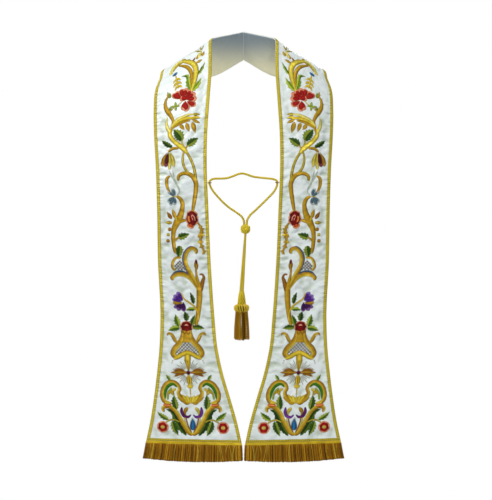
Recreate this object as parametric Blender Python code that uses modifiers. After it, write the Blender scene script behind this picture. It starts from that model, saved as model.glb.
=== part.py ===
"""Clerical stole with spade-shaped ends, hanging as it is worn, with nobody in it.

Two embroidered satin strips, each lined, run from a fringed hem up the chest, over a shoulder
and round to a mitred seam at the nape. Gold braid edges them. A gold cord is threaded through
an eye on each strip, and its two ends drop through a slider ball to one tassel.

Units are metres, +Z is up and the front faces -Y. The origin lies on the lining, halfway along
the nape seam, where the stole rests on the wearer. The tables hold millimetres.
"""

import math
from collections import namedtuple

import bmesh
import bpy
import numpy as np
from mathutils import Matrix, Vector

MM = 0.001
SIDES = {"right": 1, "left": -1}

# Cloth thicknesses and the clearance between pieces that are sewn together
GAP = 0.3 * MM
FACE_THICK = 1.5 * MM
LINING_THICK = 1.0 * MM
BRAID_THICK = 0.9 * MM
HEADER_THICK = 1.2 * MM

# Widths of the trimmings
BRAID_WIDE = 8.2 * MM
HEM_BRAID_TALL = 5.6 * MM
HEADER_TALL = 7.4 * MM

# The fringe: its strands' length, how much longer the middle ones are, how far their tips lean
# from the inner end of the hem to the outer, and the ripple in depth that they follow
FRINGE_LONG = 39.5 * MM
FRINGE_BELLY = 5.5 * MM
FRINGE_LEAN = (-1.5 * MM, 7.5 * MM)
FRINGE_RIPPLE = 1.2 * MM
FRINGE_STRANDS = 50
STRAND_SHARE = 0.68

# Panel facets: the longest steps along a strip and over the shoulder, the columns between its two
# braids, and how far it is made past the nape seam before the mitre is cut
LONGEST_STEP = 44.0 * MM
SHOULDER_STEP = 16.0 * MM
FIELD_COLUMNS = 4
PAST_SEAM = 2.0 * MM

Section = namedtuple("Section", "name inner_x inner_y inner_z outer_x outer_y outer_z crown")

# One row for each place where the strip's outline or fall changes, from the hem to the nape seam.
# Inner is the edge beside the neck. Crown is how far the middle stands out from a straight section.
SECTIONS = [
    Section("hem", 3.0, -178, -1006.5, 240.1, -172, -1000.8, 3.0),
    Section("low flare", 16.1, -180, -947.5, 227.9, -176, -944.5, 4.0),
    Section("flare", 32.9, -182, -888.5, 219.3, -178, -889, 4.0),
    Section("high flare", 51.4, -182, -825, 211.3, -179, -825, 3.0),
    Section("waist of the spade", 64.2, -181, -763.5, 205.6, -178, -764, 2.5),
    Section("knee", 70.8, -180, -695, 203.4, -177, -695, 2.5),
    Section("hip", 80.4, -182, -553, 209.5, -178, -553, 3.0),
    Section("midriff", 85.8, -185, -425.5, 211.6, -178, -425.5, 4.0),
    Section("bust", 90.0, -179, -312.7, 215.9, -165, -316.8, 6.0),
    Section("chest", 89.3, -166, -243, 220.4, -147, -256.2, 7.0),
    Section("collarbone", 84.2, -140, -151.4, 223.8, -121, -179.3, 7.0),
    Section("shoulder slope", 80.2, -108, -77.6, 221.7, -97, -126.5, 6.0),
    Section("front of ridge", 80.6, -79, -25, 213.0, -75, -96.3, 3.5),
    Section("ridge", 80.8, -52, 8.7, 204.3, -46, -69.3, 1.0),
    Section("back of ridge", 68.0, -41, 16.5, 160.0, 6, -82, 2.5),
    Section("shoulder blade", 42.0, -32, 23.5, 84.0, 30, -73.5, 2.5),
    Section("nape seam", 0.0, -22.8, 33.5, 0.0, 27.2, -30.1, 0.0),
]

# The eye's ring takes the cord, and sits against the strip's inner edge
EYE_Z = {"left": -362.5 * MM, "right": -361.5 * MM}
EYE_HOLE = 3.5 * MM
EYE_WIRE = 1.0 * MM

# The cord hangs in one upright plane, from the eyes to the slider ball and on to the tassel
CORD_THICK = 5.8 * MM
CORD_END = 1.6 * MM
CORD_Y = -182.0 * MM
PAIR_APART = CORD_THICK + 0.4 * MM
PAIR_TURN = (90, 30)
BALL_CENTRE = Vector((4.9, -182.0, -475.6)) * MM
BALL_RADIUS = 12.0 * MM
BALL_FLAT = 10.2 * MM
TASSEL_X = -4.4 * MM

# Heights on the tassel, downwards from the top of its netted cone, and its radii there
TASSEL_TOP = -628.0 * MM
CONE_TALL = 34.5 * MM
CONE_RADII = (6.2 * MM, 8.6 * MM, 11.0 * MM)
CONE_STEPS = 18
RUFF_TALL = 18.0 * MM
RUFF_RADIUS = 19.2 * MM
NECK_RADIUS = 16.2 * MM

# The ruff's outline from the cone's foot to its own: shares of its radius and of its height
RUFF_OUTLINE = [(0.86, 0.22), (1.0, 0.5), (0.95, 0.74), (0.8, 0.9)]

# The skirt's strands grow from two rings of the ruff's foot, given as shares of the neck's radius
INNER_RING = (0.35, 0.58)
OUTER_RING = (0.66, 1.0)
SKIRT_LONG = 66.0 * MM
SKIRT_SPREAD = 1.28
SKIRT_UNEVEN = 0.03
SKIRT_STEPS = 32

# The cord's stretches in the plane above, as (x, z), chosen by hand. The bridge runs from eye to
# eye, and a fall from its eye to the slider ball.
BRIDGE = [
    (-82.8, -359.7), (-80.8, -356.2), (-75.2, -353.3), (-68.0, -352.2), (-57.0, -352.0),
    (-41.0, -351.0), (-25.5, -346.2), (-13.0, -341.2), (-3.0, -339.6), (7.5, -341.6),
    (19.0, -346.0), (43.0, -349.8), (60.0, -351.6), (71.0, -353.0), (79.2, -355.6),
    (82.6, -358.8),
]
LEFT_FALL = [
    (-82.8, -365.3), (-81.8, -369.2), (-77.5, -377.6), (-60.0, -399.6), (-35.0, -423.0),
    (-14.0, -437.2), (-4.0, -445.6), (0.9, -455.0),
]
RIGHT_FALL = [
    (82.8, -364.5), (81.9, -369.6), (76.0, -382.0), (59.0, -400.8), (30.0, -429.2),
    (14.4, -444.4), (8.9, -455.0),
]


def clear_scene():
    for obj in list(bpy.data.objects):
        bpy.data.objects.remove(obj, do_unlink=True)


def collection(name):
    made = bpy.data.collections.new(name)
    bpy.context.scene.collection.children.link(made)
    return made


def material(name, rgb, roughness, metallic=0.0):
    made = bpy.data.materials.new(name)
    made.use_nodes = True
    shader = made.node_tree.nodes["Principled BSDF"]
    shader.inputs["Base Color"].default_value = (*rgb, 1.0)
    shader.inputs["Roughness"].default_value = roughness
    shader.inputs["Metallic"].default_value = metallic
    return made


def through(knots, values, at):
    """A smooth curve through values at knots: Hermite pieces whose slopes are the neighbours' mean."""
    steps = np.diff(knots)
    slopes = np.diff(values, axis=0) / steps[:, None]
    ends = (slopes[:1], slopes[-1:])
    weight = (steps[1:] / (steps[1:] + steps[:-1]))[:, None]
    tangents = np.concatenate([ends[0], slopes[:-1] * weight + slopes[1:] * (1 - weight), ends[1]])
    at = np.asarray(at, float)
    piece = np.clip(np.searchsorted(knots, at, side="right") - 1, 0, len(steps) - 1)
    step = steps[piece][..., None]
    t = (at - knots[piece])[..., None] / step
    start, end = values[piece], values[piece + 1]
    return (
        start * (1 + 2 * t) * (1 - t) ** 2
        + end * t**2 * (3 - 2 * t)
        + tangents[piece] * step * t * (1 - t) ** 2
        - tangents[piece + 1] * step * t**2 * (1 - t)
    )


ROWS = np.array([row[1:] for row in SECTIONS], float) * MM
MIDDLES = (ROWS[:, 0:3] + ROWS[:, 3:6]) / 2
KNOTS = np.concatenate([[0], np.cumsum(np.linalg.norm(np.diff(MIDDLES, axis=0), axis=1))])
NAMES = [row.name for row in SECTIONS]


def unit(vectors):
    return vectors / np.linalg.norm(vectors, axis=-1, keepdims=True)


def strip_surface(run, across):
    """Points of the right-hand strip's outer face: run is the length up from the hem, across is 0
    at the inner edge and 1 at the outer. The crown bows the straight section between them."""
    run, across = np.broadcast_arrays(np.asarray(run, float), np.asarray(across, float))
    rows = through(KNOTS, ROWS, run)
    near = through(KNOTS, ROWS, run + MM)
    inner, outer, crown = rows[..., 0:3], rows[..., 3:6], rows[..., 6:7]
    upward = (near[..., 0:3] + near[..., 3:6] - inner - outer) / 2
    outward = unit(np.cross(outer - inner, upward))
    part = across[..., None]
    return inner * (1 - part) + outer * part + outward * crown * 4 * part * (1 - part)


def strip_normals(run, across):
    """Unit normals of that face, pointing out of the cloth, from two short steps on it."""
    here = strip_surface(run, across)
    along = strip_surface(np.asarray(run) + MM, across) - here
    beside = strip_surface(run, np.asarray(across) + 0.01) - here
    return unit(np.cross(beside, along))


def width_at(run):
    rows = through(KNOTS, ROWS, run)
    return np.linalg.norm(rows[..., 3:6] - rows[..., 0:3], axis=-1)


def run_steps(first):
    """Places along the strip: every section, with the spans between cut into short steps, shorter
    where the cloth turns over the shoulder."""
    turning = KNOTS[NAMES.index("collarbone")]
    steps = [first]
    for low, high in zip(KNOTS[:-1], KNOTS[1:]):
        longest = SHOULDER_STEP if low >= turning else LONGEST_STEP
        cuts = max(1, math.ceil((high - low) / longest))
        steps += [s for s in np.linspace(low, high, cuts + 1)[1:] if s > first]
    return np.array([*steps, KNOTS[-1] + PAST_SEAM])


def inner_columns(runs):
    """The inner braid's two edges, as shares of the strip's width."""
    band = BRAID_WIDE / width_at(runs)
    return np.stack([np.zeros_like(band), band], axis=1)


def outer_columns(runs):
    return 1 - inner_columns(runs)[:, ::-1]


def field_columns(runs):
    """All the columns of the strip: the braids' edges and even steps of cloth between them."""
    low, high = inner_columns(runs), outer_columns(runs)
    shares = np.linspace(0, 1, FIELD_COLUMNS + 1)
    field = low[:, 1:] + (high[:, :1] - low[:, 1:]) * shares
    return np.concatenate([low[:, :1], field, high[:, 1:]], axis=1)


def grid_mesh(name, points):
    """An open sheet through a grid of points, row by row."""
    rows, columns = points.shape[:2]
    index = np.arange(rows * columns).reshape(rows, columns)
    corners = [index[:-1, :-1], index[:-1, 1:], index[1:, 1:], index[1:, :-1]]
    faces = np.stack(corners, axis=-1).reshape(-1, 4)
    mesh = bpy.data.meshes.new(name)
    mesh.from_pydata(points.reshape(-1, 3).tolist(), [], faces.tolist())
    return mesh


def placed(name, mesh, look, into):
    obj = bpy.data.objects.new(name, mesh)
    into.objects.link(obj)
    mesh.materials.clear()
    mesh.materials.append(look)
    return obj


def settled(obj):
    """The object with its modifiers applied."""
    graph = bpy.context.evaluated_depsgraph_get()
    mesh = bpy.data.meshes.new_from_object(obj.evaluated_get(graph))
    obj.modifiers.clear()
    obj.data = mesh
    return obj


def mitred(obj):
    """The strip's end cut square at the nape, half a seam gap from the middle."""
    work = bmesh.new()
    work.from_mesh(obj.data)
    everything = [*work.verts, *work.edges, *work.faces]
    bmesh.ops.bisect_plane(
        work, geom=everything, plane_co=(GAP / 2, 0, 0), plane_no=(1, 0, 0), clear_inner=True
    )
    open_edges = [edge for edge in work.edges if edge.is_boundary]
    bmesh.ops.contextual_create(work, geom=open_edges)
    bmesh.ops.recalc_face_normals(work, faces=work.faces)
    work.to_mesh(obj.data)
    work.free()
    return obj


def turned_over(obj, side):
    """The same piece for the other side: mirrored across the middle, its faces turned to match."""
    if SIDES[side] < 0:
        obj.data.transform(Matrix.Scale(-1, 4, Vector((1, 0, 0))))
        obj.data.flip_normals()
    return obj


def wall(name, runs, columns, lift, thick, look, into):
    """A cloth wall on the strip's face: its underside is lifted off the face and it grows outwards."""
    run = np.repeat(runs[:, None], columns.shape[1], axis=1)
    points = strip_surface(run, columns) + lift * strip_normals(run, columns)
    obj = placed(name, grid_mesh(name, points), look, into)
    solid = obj.modifiers.new("wall", "SOLIDIFY")
    solid.thickness = thick
    solid.offset = 1.0
    solid.use_even_offset = True
    return settled(obj)


def panels(side, looks, into):
    """The satin face and, under it, the lining."""
    runs = run_steps(0.0)
    columns = field_columns(runs)
    under_face = -FACE_THICK
    under_lining = under_face - GAP - LINING_THICK
    for name, lift, thick in (
        ("face", under_face, FACE_THICK),
        ("lining", under_lining, LINING_THICK),
    ):
        obj = wall(f"{name}_{side}", runs, columns, lift, thick, looks[name], into)
        turned_over(mitred(obj), side)


def edge_braids(side, look, into):
    """Braid down both long edges, from the nape seam to the hem braid."""
    runs = run_steps(HEADER_TALL + HEM_BRAID_TALL + GAP)
    for name, columns in (("inner_braid", inner_columns), ("outer_braid", outer_columns)):
        obj = wall(f"{name}_{side}", runs, columns(runs), GAP, BRAID_THICK, look, into)
        turned_over(mitred(obj), side)


def hem_braid(side, look, into):
    """The braid across the hem, above the fringe's header."""
    runs = np.array([HEADER_TALL + GAP, HEADER_TALL + HEM_BRAID_TALL])
    columns = field_columns(runs)
    turned_over(wall(f"hem_braid_{side}", runs, columns, GAP, BRAID_THICK, look, into), side)


def strand_cells(count):
    """Cell borders across a header, where a strand and a gap take turns and a strand comes last."""
    pitch = 1 / (count - 1 + STRAND_SHARE)
    starts = np.arange(count) * pitch
    return np.sort(np.concatenate([starts, starts + STRAND_SHARE * pitch]))


def drawn_out(work, faces, shifts, shrink):
    """Each face pulled out by itself, one step for each shift, a little narrower each time."""
    for shift in shifts:
        made = bmesh.ops.extrude_discrete_faces(work, faces=faces)
        for number, face in enumerate(made["faces"]):
            middle = face.calc_center_median()
            for vert in face.verts:
                vert.co = middle + (vert.co - middle) * shrink + shift(number, middle)
        faces = made["faces"]


def fringe(side, look, into):
    """The header tape on the hem, with the strands growing out of its lower edge. Their tips lean
    with the strip's flare."""
    runs = np.array([0.0, HEADER_TALL])
    columns = np.repeat(strand_cells(FRINGE_STRANDS)[None], len(runs), axis=0)
    obj = wall(f"fringe_{side}", runs, columns, GAP, HEADER_THICK, look, into)
    work = bmesh.new()
    work.from_mesh(obj.data)
    half_way_up = strip_surface(HEADER_TALL / 2, 0.5)[2]
    hem = [
        face
        for face in work.faces
        if face.normal.z < -0.7 and face.calc_center_median().z < half_way_up
    ]
    hem.sort(key=lambda face: face.calc_center_median().x)

    def step(share):
        def shift(number, middle):
            place = number / (FRINGE_STRANDS - 1)
            lean = FRINGE_LEAN[0] * (1 - place) + FRINGE_LEAN[1] * place
            ripple = FRINGE_RIPPLE * math.sin(9 * place + 0.4 * math.sin(47 * place))
            length = FRINGE_LONG + FRINGE_BELLY * math.sin(math.pi * place)
            return Vector((lean, ripple, -length)) * share

        return shift

    drawn_out(work, hem[0::2], [step(0.5), step(0.5)], 0.94)
    bmesh.ops.recalc_face_normals(work, faces=work.faces)
    work.to_mesh(obj.data)
    work.free()
    turned_over(obj, side)


def inner_edge_at(height):
    """The point on the strip's inner edge at a height, by searching along the front of the strip."""
    runs = np.linspace(0, KNOTS[NAMES.index("ridge")], 4000)
    edge = strip_surface(runs, 0.0)
    return edge[np.abs(edge[:, 2] - height).argmin()]


def eye_centre(side):
    edge_x = inner_edge_at(EYE_Z[side])[0]
    return Vector((SIDES[side] * (edge_x - GAP - EYE_HOLE - 2 * EYE_WIRE), CORD_Y, EYE_Z[side]))


def eye(side, look, into):
    """The ring of whipped thread that the cord runs through, level, against the inner edge."""
    bpy.ops.mesh.primitive_torus_add(
        location=eye_centre(side),
        major_radius=EYE_HOLE + EYE_WIRE,
        minor_radius=EYE_WIRE,
        major_segments=16,
        minor_segments=6,
    )
    obj = bpy.context.object
    obj.name = f"eye_{side}"
    for holder in list(obj.users_collection):
        holder.objects.unlink(obj)
    into.objects.link(obj)
    obj.data.materials.append(look)


def smooth_route(points, spacing):
    """Points about spacing apart on the smooth curve through a route's own points, with a short
    step at each end that keeps the cord's caps square to it."""
    points = np.array([tuple(p) for p in points], float)
    knots = np.concatenate([[0], np.cumsum(np.linalg.norm(np.diff(points, axis=0), axis=1))])
    stops = np.linspace(0, knots[-1], round(knots[-1] / spacing) + 1)
    return through(knots, points, [0, CORD_END, *stops[1:-1], knots[-1] - CORD_END, knots[-1]])


def in_cord_plane(pairs):
    return [Vector((x * MM, CORD_Y, z * MM)) for x, z in pairs]


def in_eye(side, lift):
    """A cord's end inside an eye's ring, half a gap above or below its middle."""
    return eye_centre(side) + Vector((0, 0, lift * GAP / 2))


def at_ball(half):
    """A fall's end on the ball's upper flat, beside the other fall's."""
    return BALL_CENTRE + Vector((half * PAIR_APART / 2, 0, BALL_FLAT + GAP))


def paired_drop(half):
    """The way of one of the two cords from the ball to the tassel. They start one before the
    other and turn until they lie nearly side by side. half is 1 or -1."""
    start = BALL_CENTRE - Vector((0, 0, BALL_FLAT + GAP))
    end = Vector((TASSEL_X, CORD_Y, TASSEL_TOP + 2 * GAP))
    points = []
    for share in np.linspace(0, 1, 9):
        turn = math.radians(PAIR_TURN[0] * (1 - share) + PAIR_TURN[1] * share)
        apart = Vector((math.cos(turn), -math.sin(turn), 0)) * PAIR_APART / 2 * half
        points.append(start.lerp(end, share) + apart)
    return points


def cord_tube(name, points, spacing, look, into):
    curve = bpy.data.curves.new(name, "CURVE")
    curve.dimensions = "3D"
    curve.bevel_depth = CORD_THICK / 2
    curve.bevel_resolution = 2
    curve.use_fill_caps = True
    way = smooth_route(points, spacing)
    spline = curve.splines.new("POLY")
    spline.points.add(len(way) - 1)
    for point, place in zip(spline.points, way):
        point.co = (*place, 1)
    obj = bpy.data.objects.new(name, curve)
    curve.materials.append(look)
    into.objects.link(obj)


def cords(look, into):
    """The one cord, in the stretches that its eyes and its slider ball part."""
    close, loose = 1.2 * CORD_THICK, 2.6 * CORD_THICK
    bridge = [in_eye("left", 1), *in_cord_plane(BRIDGE), in_eye("right", 1)]
    left_fall = [in_eye("left", -1), *in_cord_plane(LEFT_FALL), at_ball(-1)]
    right_fall = [in_eye("right", -1), *in_cord_plane(RIGHT_FALL), at_ball(1)]
    cord_tube("cord_bridge", bridge, close, look, into)
    cord_tube("cord_high_left", left_fall, close, look, into)
    cord_tube("cord_high_right", right_fall, close, look, into)
    cord_tube("cord_low_left", paired_drop(-1), loose, look, into)
    cord_tube("cord_low_right", paired_drop(1), loose, look, into)


def slider_ball(look, into):
    """A round bead with a flat above and below, where the cords go in."""
    work = bmesh.new()
    bmesh.ops.create_uvsphere(work, u_segments=18, v_segments=12, radius=BALL_RADIUS)
    for vert in work.verts:
        vert.co.z = min(BALL_FLAT, max(-BALL_FLAT, vert.co.z))
    bmesh.ops.dissolve_limit(work, angle_limit=0.001, verts=work.verts, edges=work.edges)
    mesh = bpy.data.meshes.new("cord_ball")
    work.to_mesh(mesh)
    work.free()
    placed("cord_ball", mesh, look, into).location = BALL_CENTRE


def lathe(name, profile, steps, look, into):
    """A solid turned about the tassel's axis from (radius, height) pairs, top to bottom."""
    mesh = bpy.data.meshes.new(name)
    points = [(radius, 0, height) for radius, height in profile]
    edges = [(i, i + 1) for i in range(len(points) - 1)]
    mesh.from_pydata(points, edges, [])
    obj = placed(name, mesh, look, into)
    screw = obj.modifiers.new("turned", "SCREW")
    screw.steps = screw.render_steps = steps
    screw.use_merge_vertices = True
    screw.merge_threshold = 0.01 * MM
    obj.location = (TASSEL_X, CORD_Y, 0)
    return settled(obj)


def tassel(look, into):
    """The netted cone, and under it the ruff with the skirt's strands growing from its underside."""
    cone_foot = TASSEL_TOP - CONE_TALL
    heights = np.linspace(TASSEL_TOP, cone_foot + GAP, len(CONE_RADII))
    cone = [(0.0, TASSEL_TOP), *zip(CONE_RADII, heights), (0.0, cone_foot + GAP)]
    lathe("tassel_cone", cone, CONE_STEPS, look, into)

    ruff_foot = cone_foot - RUFF_TALL
    profile = [
        (0.0, cone_foot),
        (CONE_RADII[-1], cone_foot),
        *[(out * RUFF_RADIUS, cone_foot - down * RUFF_TALL) for out, down in RUFF_OUTLINE],
        *[(share * NECK_RADIUS, ruff_foot) for share in (*OUTER_RING[::-1], *INNER_RING[::-1])],
        (0.0, ruff_foot),
    ]
    skirt = lathe("tassel_skirt", profile, SKIRT_STEPS, look, into)
    work = bmesh.new()
    work.from_mesh(skirt.data)

    def underside(ring):
        """Every second face of one ring of the underside, in order round the axis."""
        found = []
        for face in work.faces:
            middle = face.calc_center_median()
            reach = math.hypot(middle.x, middle.y) / NECK_RADIUS
            level = abs(middle.z - ruff_foot) < GAP
            if level and face.normal.z < -0.9 and ring[0] < reach < ring[1]:
                found.append(face)
        found.sort(key=lambda face: math.atan2(*face.calc_center_median().yx))
        return found[::2]

    def step(share):
        def shift(number, middle):
            spread = (SKIRT_SPREAD - 1) * share
            uneven = 1 + SKIRT_UNEVEN * math.sin(2.6 * number)
            return Vector((middle.x * spread, middle.y * spread, -SKIRT_LONG * share * uneven))

        return shift

    locks = underside(OUTER_RING) + underside(INNER_RING)
    drawn_out(work, locks, [step(0.35), step(0.35), step(0.30)], 1.0)
    bmesh.ops.recalc_face_normals(work, faces=work.faces)
    work.to_mesh(skirt.data)
    work.free()


def build():
    clear_scene()
    stole = collection("clerical_stole")
    looks = {
        "face": material("white_satin", (0.83, 0.87, 0.87), 0.42),
        "lining": material("grey_lining", (0.62, 0.64, 0.62), 0.5),
    }
    braid = material("gold_braid", (0.62, 0.45, 0.07), 0.45, 0.25)
    bullion = material("gold_fringe", (0.36, 0.20, 0.04), 0.5, 0.2)
    cord = material("gold_cord", (0.66, 0.48, 0.06), 0.42, 0.25)
    for side in SIDES:
        panels(side, looks, stole)
        edge_braids(side, braid, stole)
        hem_braid(side, braid, stole)
        fringe(side, bullion, stole)
        eye(side, cord, stole)
    cords(cord, stole)
    slider_ball(cord, stole)
    tassel(bullion, stole)


build()
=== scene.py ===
"""A clerical stole of embroidered white satin, as it hangs on a wearer who isn't shown.

Everything is in metres in the frame of the fixed solids: +Z up, the front faces -Y, and the origin
lies on the lining at the middle of the nape seam. Tables hold millimetres.
"""

import math
from collections import namedtuple

import bpy
import numpy as np
from mathutils import Matrix, Vector


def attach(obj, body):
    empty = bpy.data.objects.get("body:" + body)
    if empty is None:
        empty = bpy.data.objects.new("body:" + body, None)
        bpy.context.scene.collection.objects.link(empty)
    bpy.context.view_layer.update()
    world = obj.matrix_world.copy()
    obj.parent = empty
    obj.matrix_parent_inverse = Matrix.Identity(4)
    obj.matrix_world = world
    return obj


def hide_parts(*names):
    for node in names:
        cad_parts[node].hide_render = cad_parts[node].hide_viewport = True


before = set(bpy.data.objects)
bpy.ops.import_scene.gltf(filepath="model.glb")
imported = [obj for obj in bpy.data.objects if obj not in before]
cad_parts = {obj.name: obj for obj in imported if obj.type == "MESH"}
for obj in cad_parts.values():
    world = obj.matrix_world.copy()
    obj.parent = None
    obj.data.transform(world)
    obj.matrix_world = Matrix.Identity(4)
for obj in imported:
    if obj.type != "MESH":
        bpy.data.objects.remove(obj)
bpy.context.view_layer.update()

# The view. The stole was photographed square on, from the height of its middle, so the camera is
# level and looks along +Y. The studio is white all round, with a pale round floor, a hard-edged
# light high on the left, a soft one in front, and one behind for whoever walks round it.
MM = 0.001
CAMERA_PLACE = (0.00625, -3.38, -0.527)
VIEW_HALF_HEIGHT, VIEW_DISTANCE = 0.6125, 3.2
FLOOR, FLOOR_REACH = -1.45, 1.3
FLOOR_PALE, STUDIO_WHITE, DAYLIGHT = "#f2f2f0", "#ffffff", "#eef5fa"
DAYLIGHT_STRENGTH = 0.3


def srgb(code):
    """Linear red, green and blue from a hex colour: the sRGB curve, undone."""
    value = np.array([int(code[i : i + 2], 16) for i in (1, 3, 5)]) / 255
    return np.where(value <= 0.04045, value / 12.92, ((value + 0.055) / 1.055) ** 2.4)


def add(tree, kind, sockets=(), **settings):
    """A node with its settings, and its sockets set to a value or linked to another's output."""
    made = tree.nodes.new(kind)
    for name, value in settings.items():
        setattr(made, name, value)
    for name, value in dict(sockets).items():
        if isinstance(value, bpy.types.NodeSocket):
            tree.links.new(value, made.inputs[name])
        else:
            made.inputs[name].default_value = value
    return made


def finish_of(name, colour, **sockets):
    """A material with one shader, whose sockets are given in words. It returns both."""
    made = bpy.data.materials.new(name)
    made.use_nodes = True
    shader = made.node_tree.nodes["Principled BSDF"]
    shader.inputs["Base Color"].default_value = (*srgb(colour), 1)
    for word, value in sockets.items():
        shader.inputs[word.replace("_", " ").title().replace("Ior", "IOR")].default_value = value
    return made, shader


def quads(rows, columns, ring):
    """Corner numbers of the faces between a grid's rows and columns, closed round for a ring."""
    index = np.arange(rows * columns).reshape(rows, columns)
    if ring:
        index = np.concatenate([index, index[:, :1]], axis=1)
    corners = [index[:-1, :-1], index[:-1, 1:], index[1:, 1:], index[1:, :-1]]
    return np.stack(corners, axis=-1).reshape(-1, 4)


def surface(name, parts, look, mirrored=False):
    """One mesh from parts. A part is a stack of like grids of points, copies by rows by columns by 3, then
    whether its columns close to a tube, then its UV and its colour at each point, thread colour with painted
    light and shade in it, or None. A tube has an even number of columns, and ladders of faces close its two
    ends."""
    points, faces, uvs, tones, start = [], [], [], [], 0
    for grid, ring, uv, tone in parts:
        copies, rows, columns = grid.shape[:3]
        one = quads(rows, columns, ring)
        each = start + np.arange(copies)[:, None, None] * rows * columns
        faces += (each + one).reshape(-1, 4).tolist()
        if ring:
            rung = np.arange(columns // 2 - 1)[:, None]
            cap = np.concatenate([rung, rung + 1, columns - 2 - rung, columns - 1 - rung], axis=1)
            faces += (each + cap[:, ::-1]).reshape(-1, 4).tolist()
            faces += (each + cap + (rows - 1) * columns).reshape(-1, 4).tolist()
        points.append(grid.reshape(-1, 3))
        uv = np.zeros(2) if uv is None else uv
        uvs.append(np.broadcast_to(uv, (*grid.shape[:3], 2)).reshape(-1, 2))
        tone = np.ones(3) if tone is None else tone
        tones.append(np.broadcast_to(tone, grid.shape).reshape(-1, 3))
        start += copies * rows * columns
    points, uvs, tones = (np.concatenate(each).astype(np.float32) for each in (points, uvs, tones))
    mesh = bpy.data.meshes.new(name)
    mesh.from_pydata(points.tolist(), [], faces)
    corner = np.empty(len(mesh.loops), np.int32)
    mesh.loops.foreach_get("vertex_index", corner)
    mesh.uv_layers.new(name="UVMap").data.foreach_set("uv", uvs[corner].ravel())
    colours = np.concatenate([tones, np.ones_like(tones[:, :1])], axis=1)
    mesh.color_attributes.new("thread", "FLOAT_COLOR", "POINT").data.foreach_set("color", colours.ravel())
    mesh.shade_smooth()
    if mirrored:
        mesh.transform(Matrix.Scale(-1, 4, Vector((1, 0, 0))))
        mesh.flip_normals()
    mesh.materials.append(look)
    made = bpy.data.objects.new(name, mesh)
    bpy.context.scene.collection.objects.link(made)
    return made


def about_axis(angle, reach, height):
    """Points round an upright axis: reach times the cosine and the sine of the angle, at a height."""
    return np.stack(np.broadcast_arrays(reach * np.cos(angle), reach * np.sin(angle), height), axis=-1)


def floor_disc():
    """A level disc: rings about its middle, each a step wider than the last."""
    disc = about_axis(np.linspace(0, 2 * math.pi, 65), np.linspace(0, FLOOR_REACH, 7)[:, None], FLOOR)
    paint, _ = finish_of("floor_paint", FLOOR_PALE, roughness=0.9, specular_ior_level=0.2)
    surface("floor_disc", [(disc[None], False, None, None)], paint)


def soft_light(name, place, aim, wide, tall, watts):
    """A lamp with a wide flat face, turned towards its aim."""
    light = bpy.data.lights.new(name, "AREA")
    light.shape, light.size, light.size_y, light.energy = "RECTANGLE", wide, tall, watts
    made = bpy.data.objects.new(name, light)
    bpy.context.scene.collection.objects.link(made)
    made.location = place
    made.rotation_euler = (Vector(aim) - Vector(place)).to_track_quat("-Z", "Y").to_euler()


camera = bpy.data.objects.new("camera", bpy.data.cameras.new("camera"))
bpy.context.scene.collection.objects.link(camera)
camera.location, camera.rotation_euler = CAMERA_PLACE, (math.radians(90), 0, 0)
camera.data.sensor_fit = "VERTICAL"
camera.data.angle = 2 * math.atan(VIEW_HALF_HEIGHT / VIEW_DISTANCE)
bpy.context.scene.camera = camera
bpy.context.scene.view_settings.view_transform = "Standard"
world = bpy.data.worlds.new("studio")
bpy.context.scene.world = world
world.use_nodes = True
seen = world.node_tree.nodes["Background"]
seen.inputs["Color"].default_value = (*srgb(STUDIO_WHITE), 1)
lit = add(
    world.node_tree,
    "ShaderNodeBackground",
    {"Color": (*srgb(DAYLIGHT), 1), "Strength": DAYLIGHT_STRENGTH},
)
ray = add(world.node_tree, "ShaderNodeLightPath")
both = add(
    world.node_tree,
    "ShaderNodeMixShader",
    {0: ray.outputs["Is Camera Ray"], 1: lit.outputs[0], 2: seen.outputs[0]},
)
world.node_tree.links.new(both.outputs[0], world.node_tree.nodes["World Output"].inputs["Surface"])
floor_disc()
soft_light("key", (-2.0, -2.0, 2.7), (0, -0.15, -0.5), 0.7, 0.6, 122)
soft_light("front", (0.8, -3.6, -0.2), (0, -0.15, -0.55), 2.0, 2.0, 26)
soft_light("behind", (0.6, 2.6, 1.4), (0, 0, -0.5), 1.6, 1.6, 50)

# The cord. One twisted cord of three gilt plies is threaded through an eye on each strip. Its
# bridge spans the chest between the eyes, and its two ends drop through the slider ball to the
# tassel, where they run on inside the netted cone.
CORD_THICK = 5.8 * MM
CORD_PITCH = 15 * MM
CORD_Y = -182.0
CLEARANCE = 0.3
PAIR_APART = 6.2
PAIR_TURN = (90, 30)
EYE_PLACES = {"left": (-82.9, CORD_Y, -362.5), "right": (82.9, CORD_Y, -361.5)}
BALL_CENTRE = np.array((4.9, CORD_Y, -475.6))
BALL_FLAT = 10.2
TASSEL_X, TASSEL_TOP = -4.4, -628.0
INTO_CONE = 14.0
BRIDGE = [
    (-82.8, -359.7), (-80.8, -356.2), (-75.2, -353.3), (-68.0, -352.2), (-57.0, -352.0),
    (-41.0, -351.0), (-25.5, -346.2), (-13.0, -341.2), (-3.0, -339.6), (7.5, -341.6),
    (19.0, -346.0), (43.0, -349.8), (60.0, -351.6), (71.0, -353.0), (79.2, -355.6),
    (82.6, -358.8),
]
LEFT_FALL = [
    (-82.8, -365.3), (-81.8, -369.2), (-77.5, -377.6), (-60.0, -399.6), (-35.0, -423.0),
    (-14.0, -437.2), (-4.0, -445.6), (0.9, -455.0),
]
RIGHT_FALL = [
    (82.8, -364.5), (81.9, -369.6), (76.0, -382.0), (59.0, -400.8), (30.0, -429.2),
    (14.4, -444.4), (8.9, -455.0),
]
# The cord's plies and the ball's plait blend between the deep and light gilt by how far they stand out, as
# painted shade and painted light
GILT_LIGHT, GILT_MID, GILT_DEEP = "#f2d83a", "#c9a11c", "#7a5a0a"
THREAD_GLOSS, YARN = 0.15, 0.9 * MM
# How thick a ply is beside its rope, for ropes of two plies and of three
PLY_SHARES = {2: 0.56, 3: 0.52}
# A wave texture of scale 1 has a wave every 0.314 m, and along its diagonal one every 0.628 m
WAVE_LONG = 0.314


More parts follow.
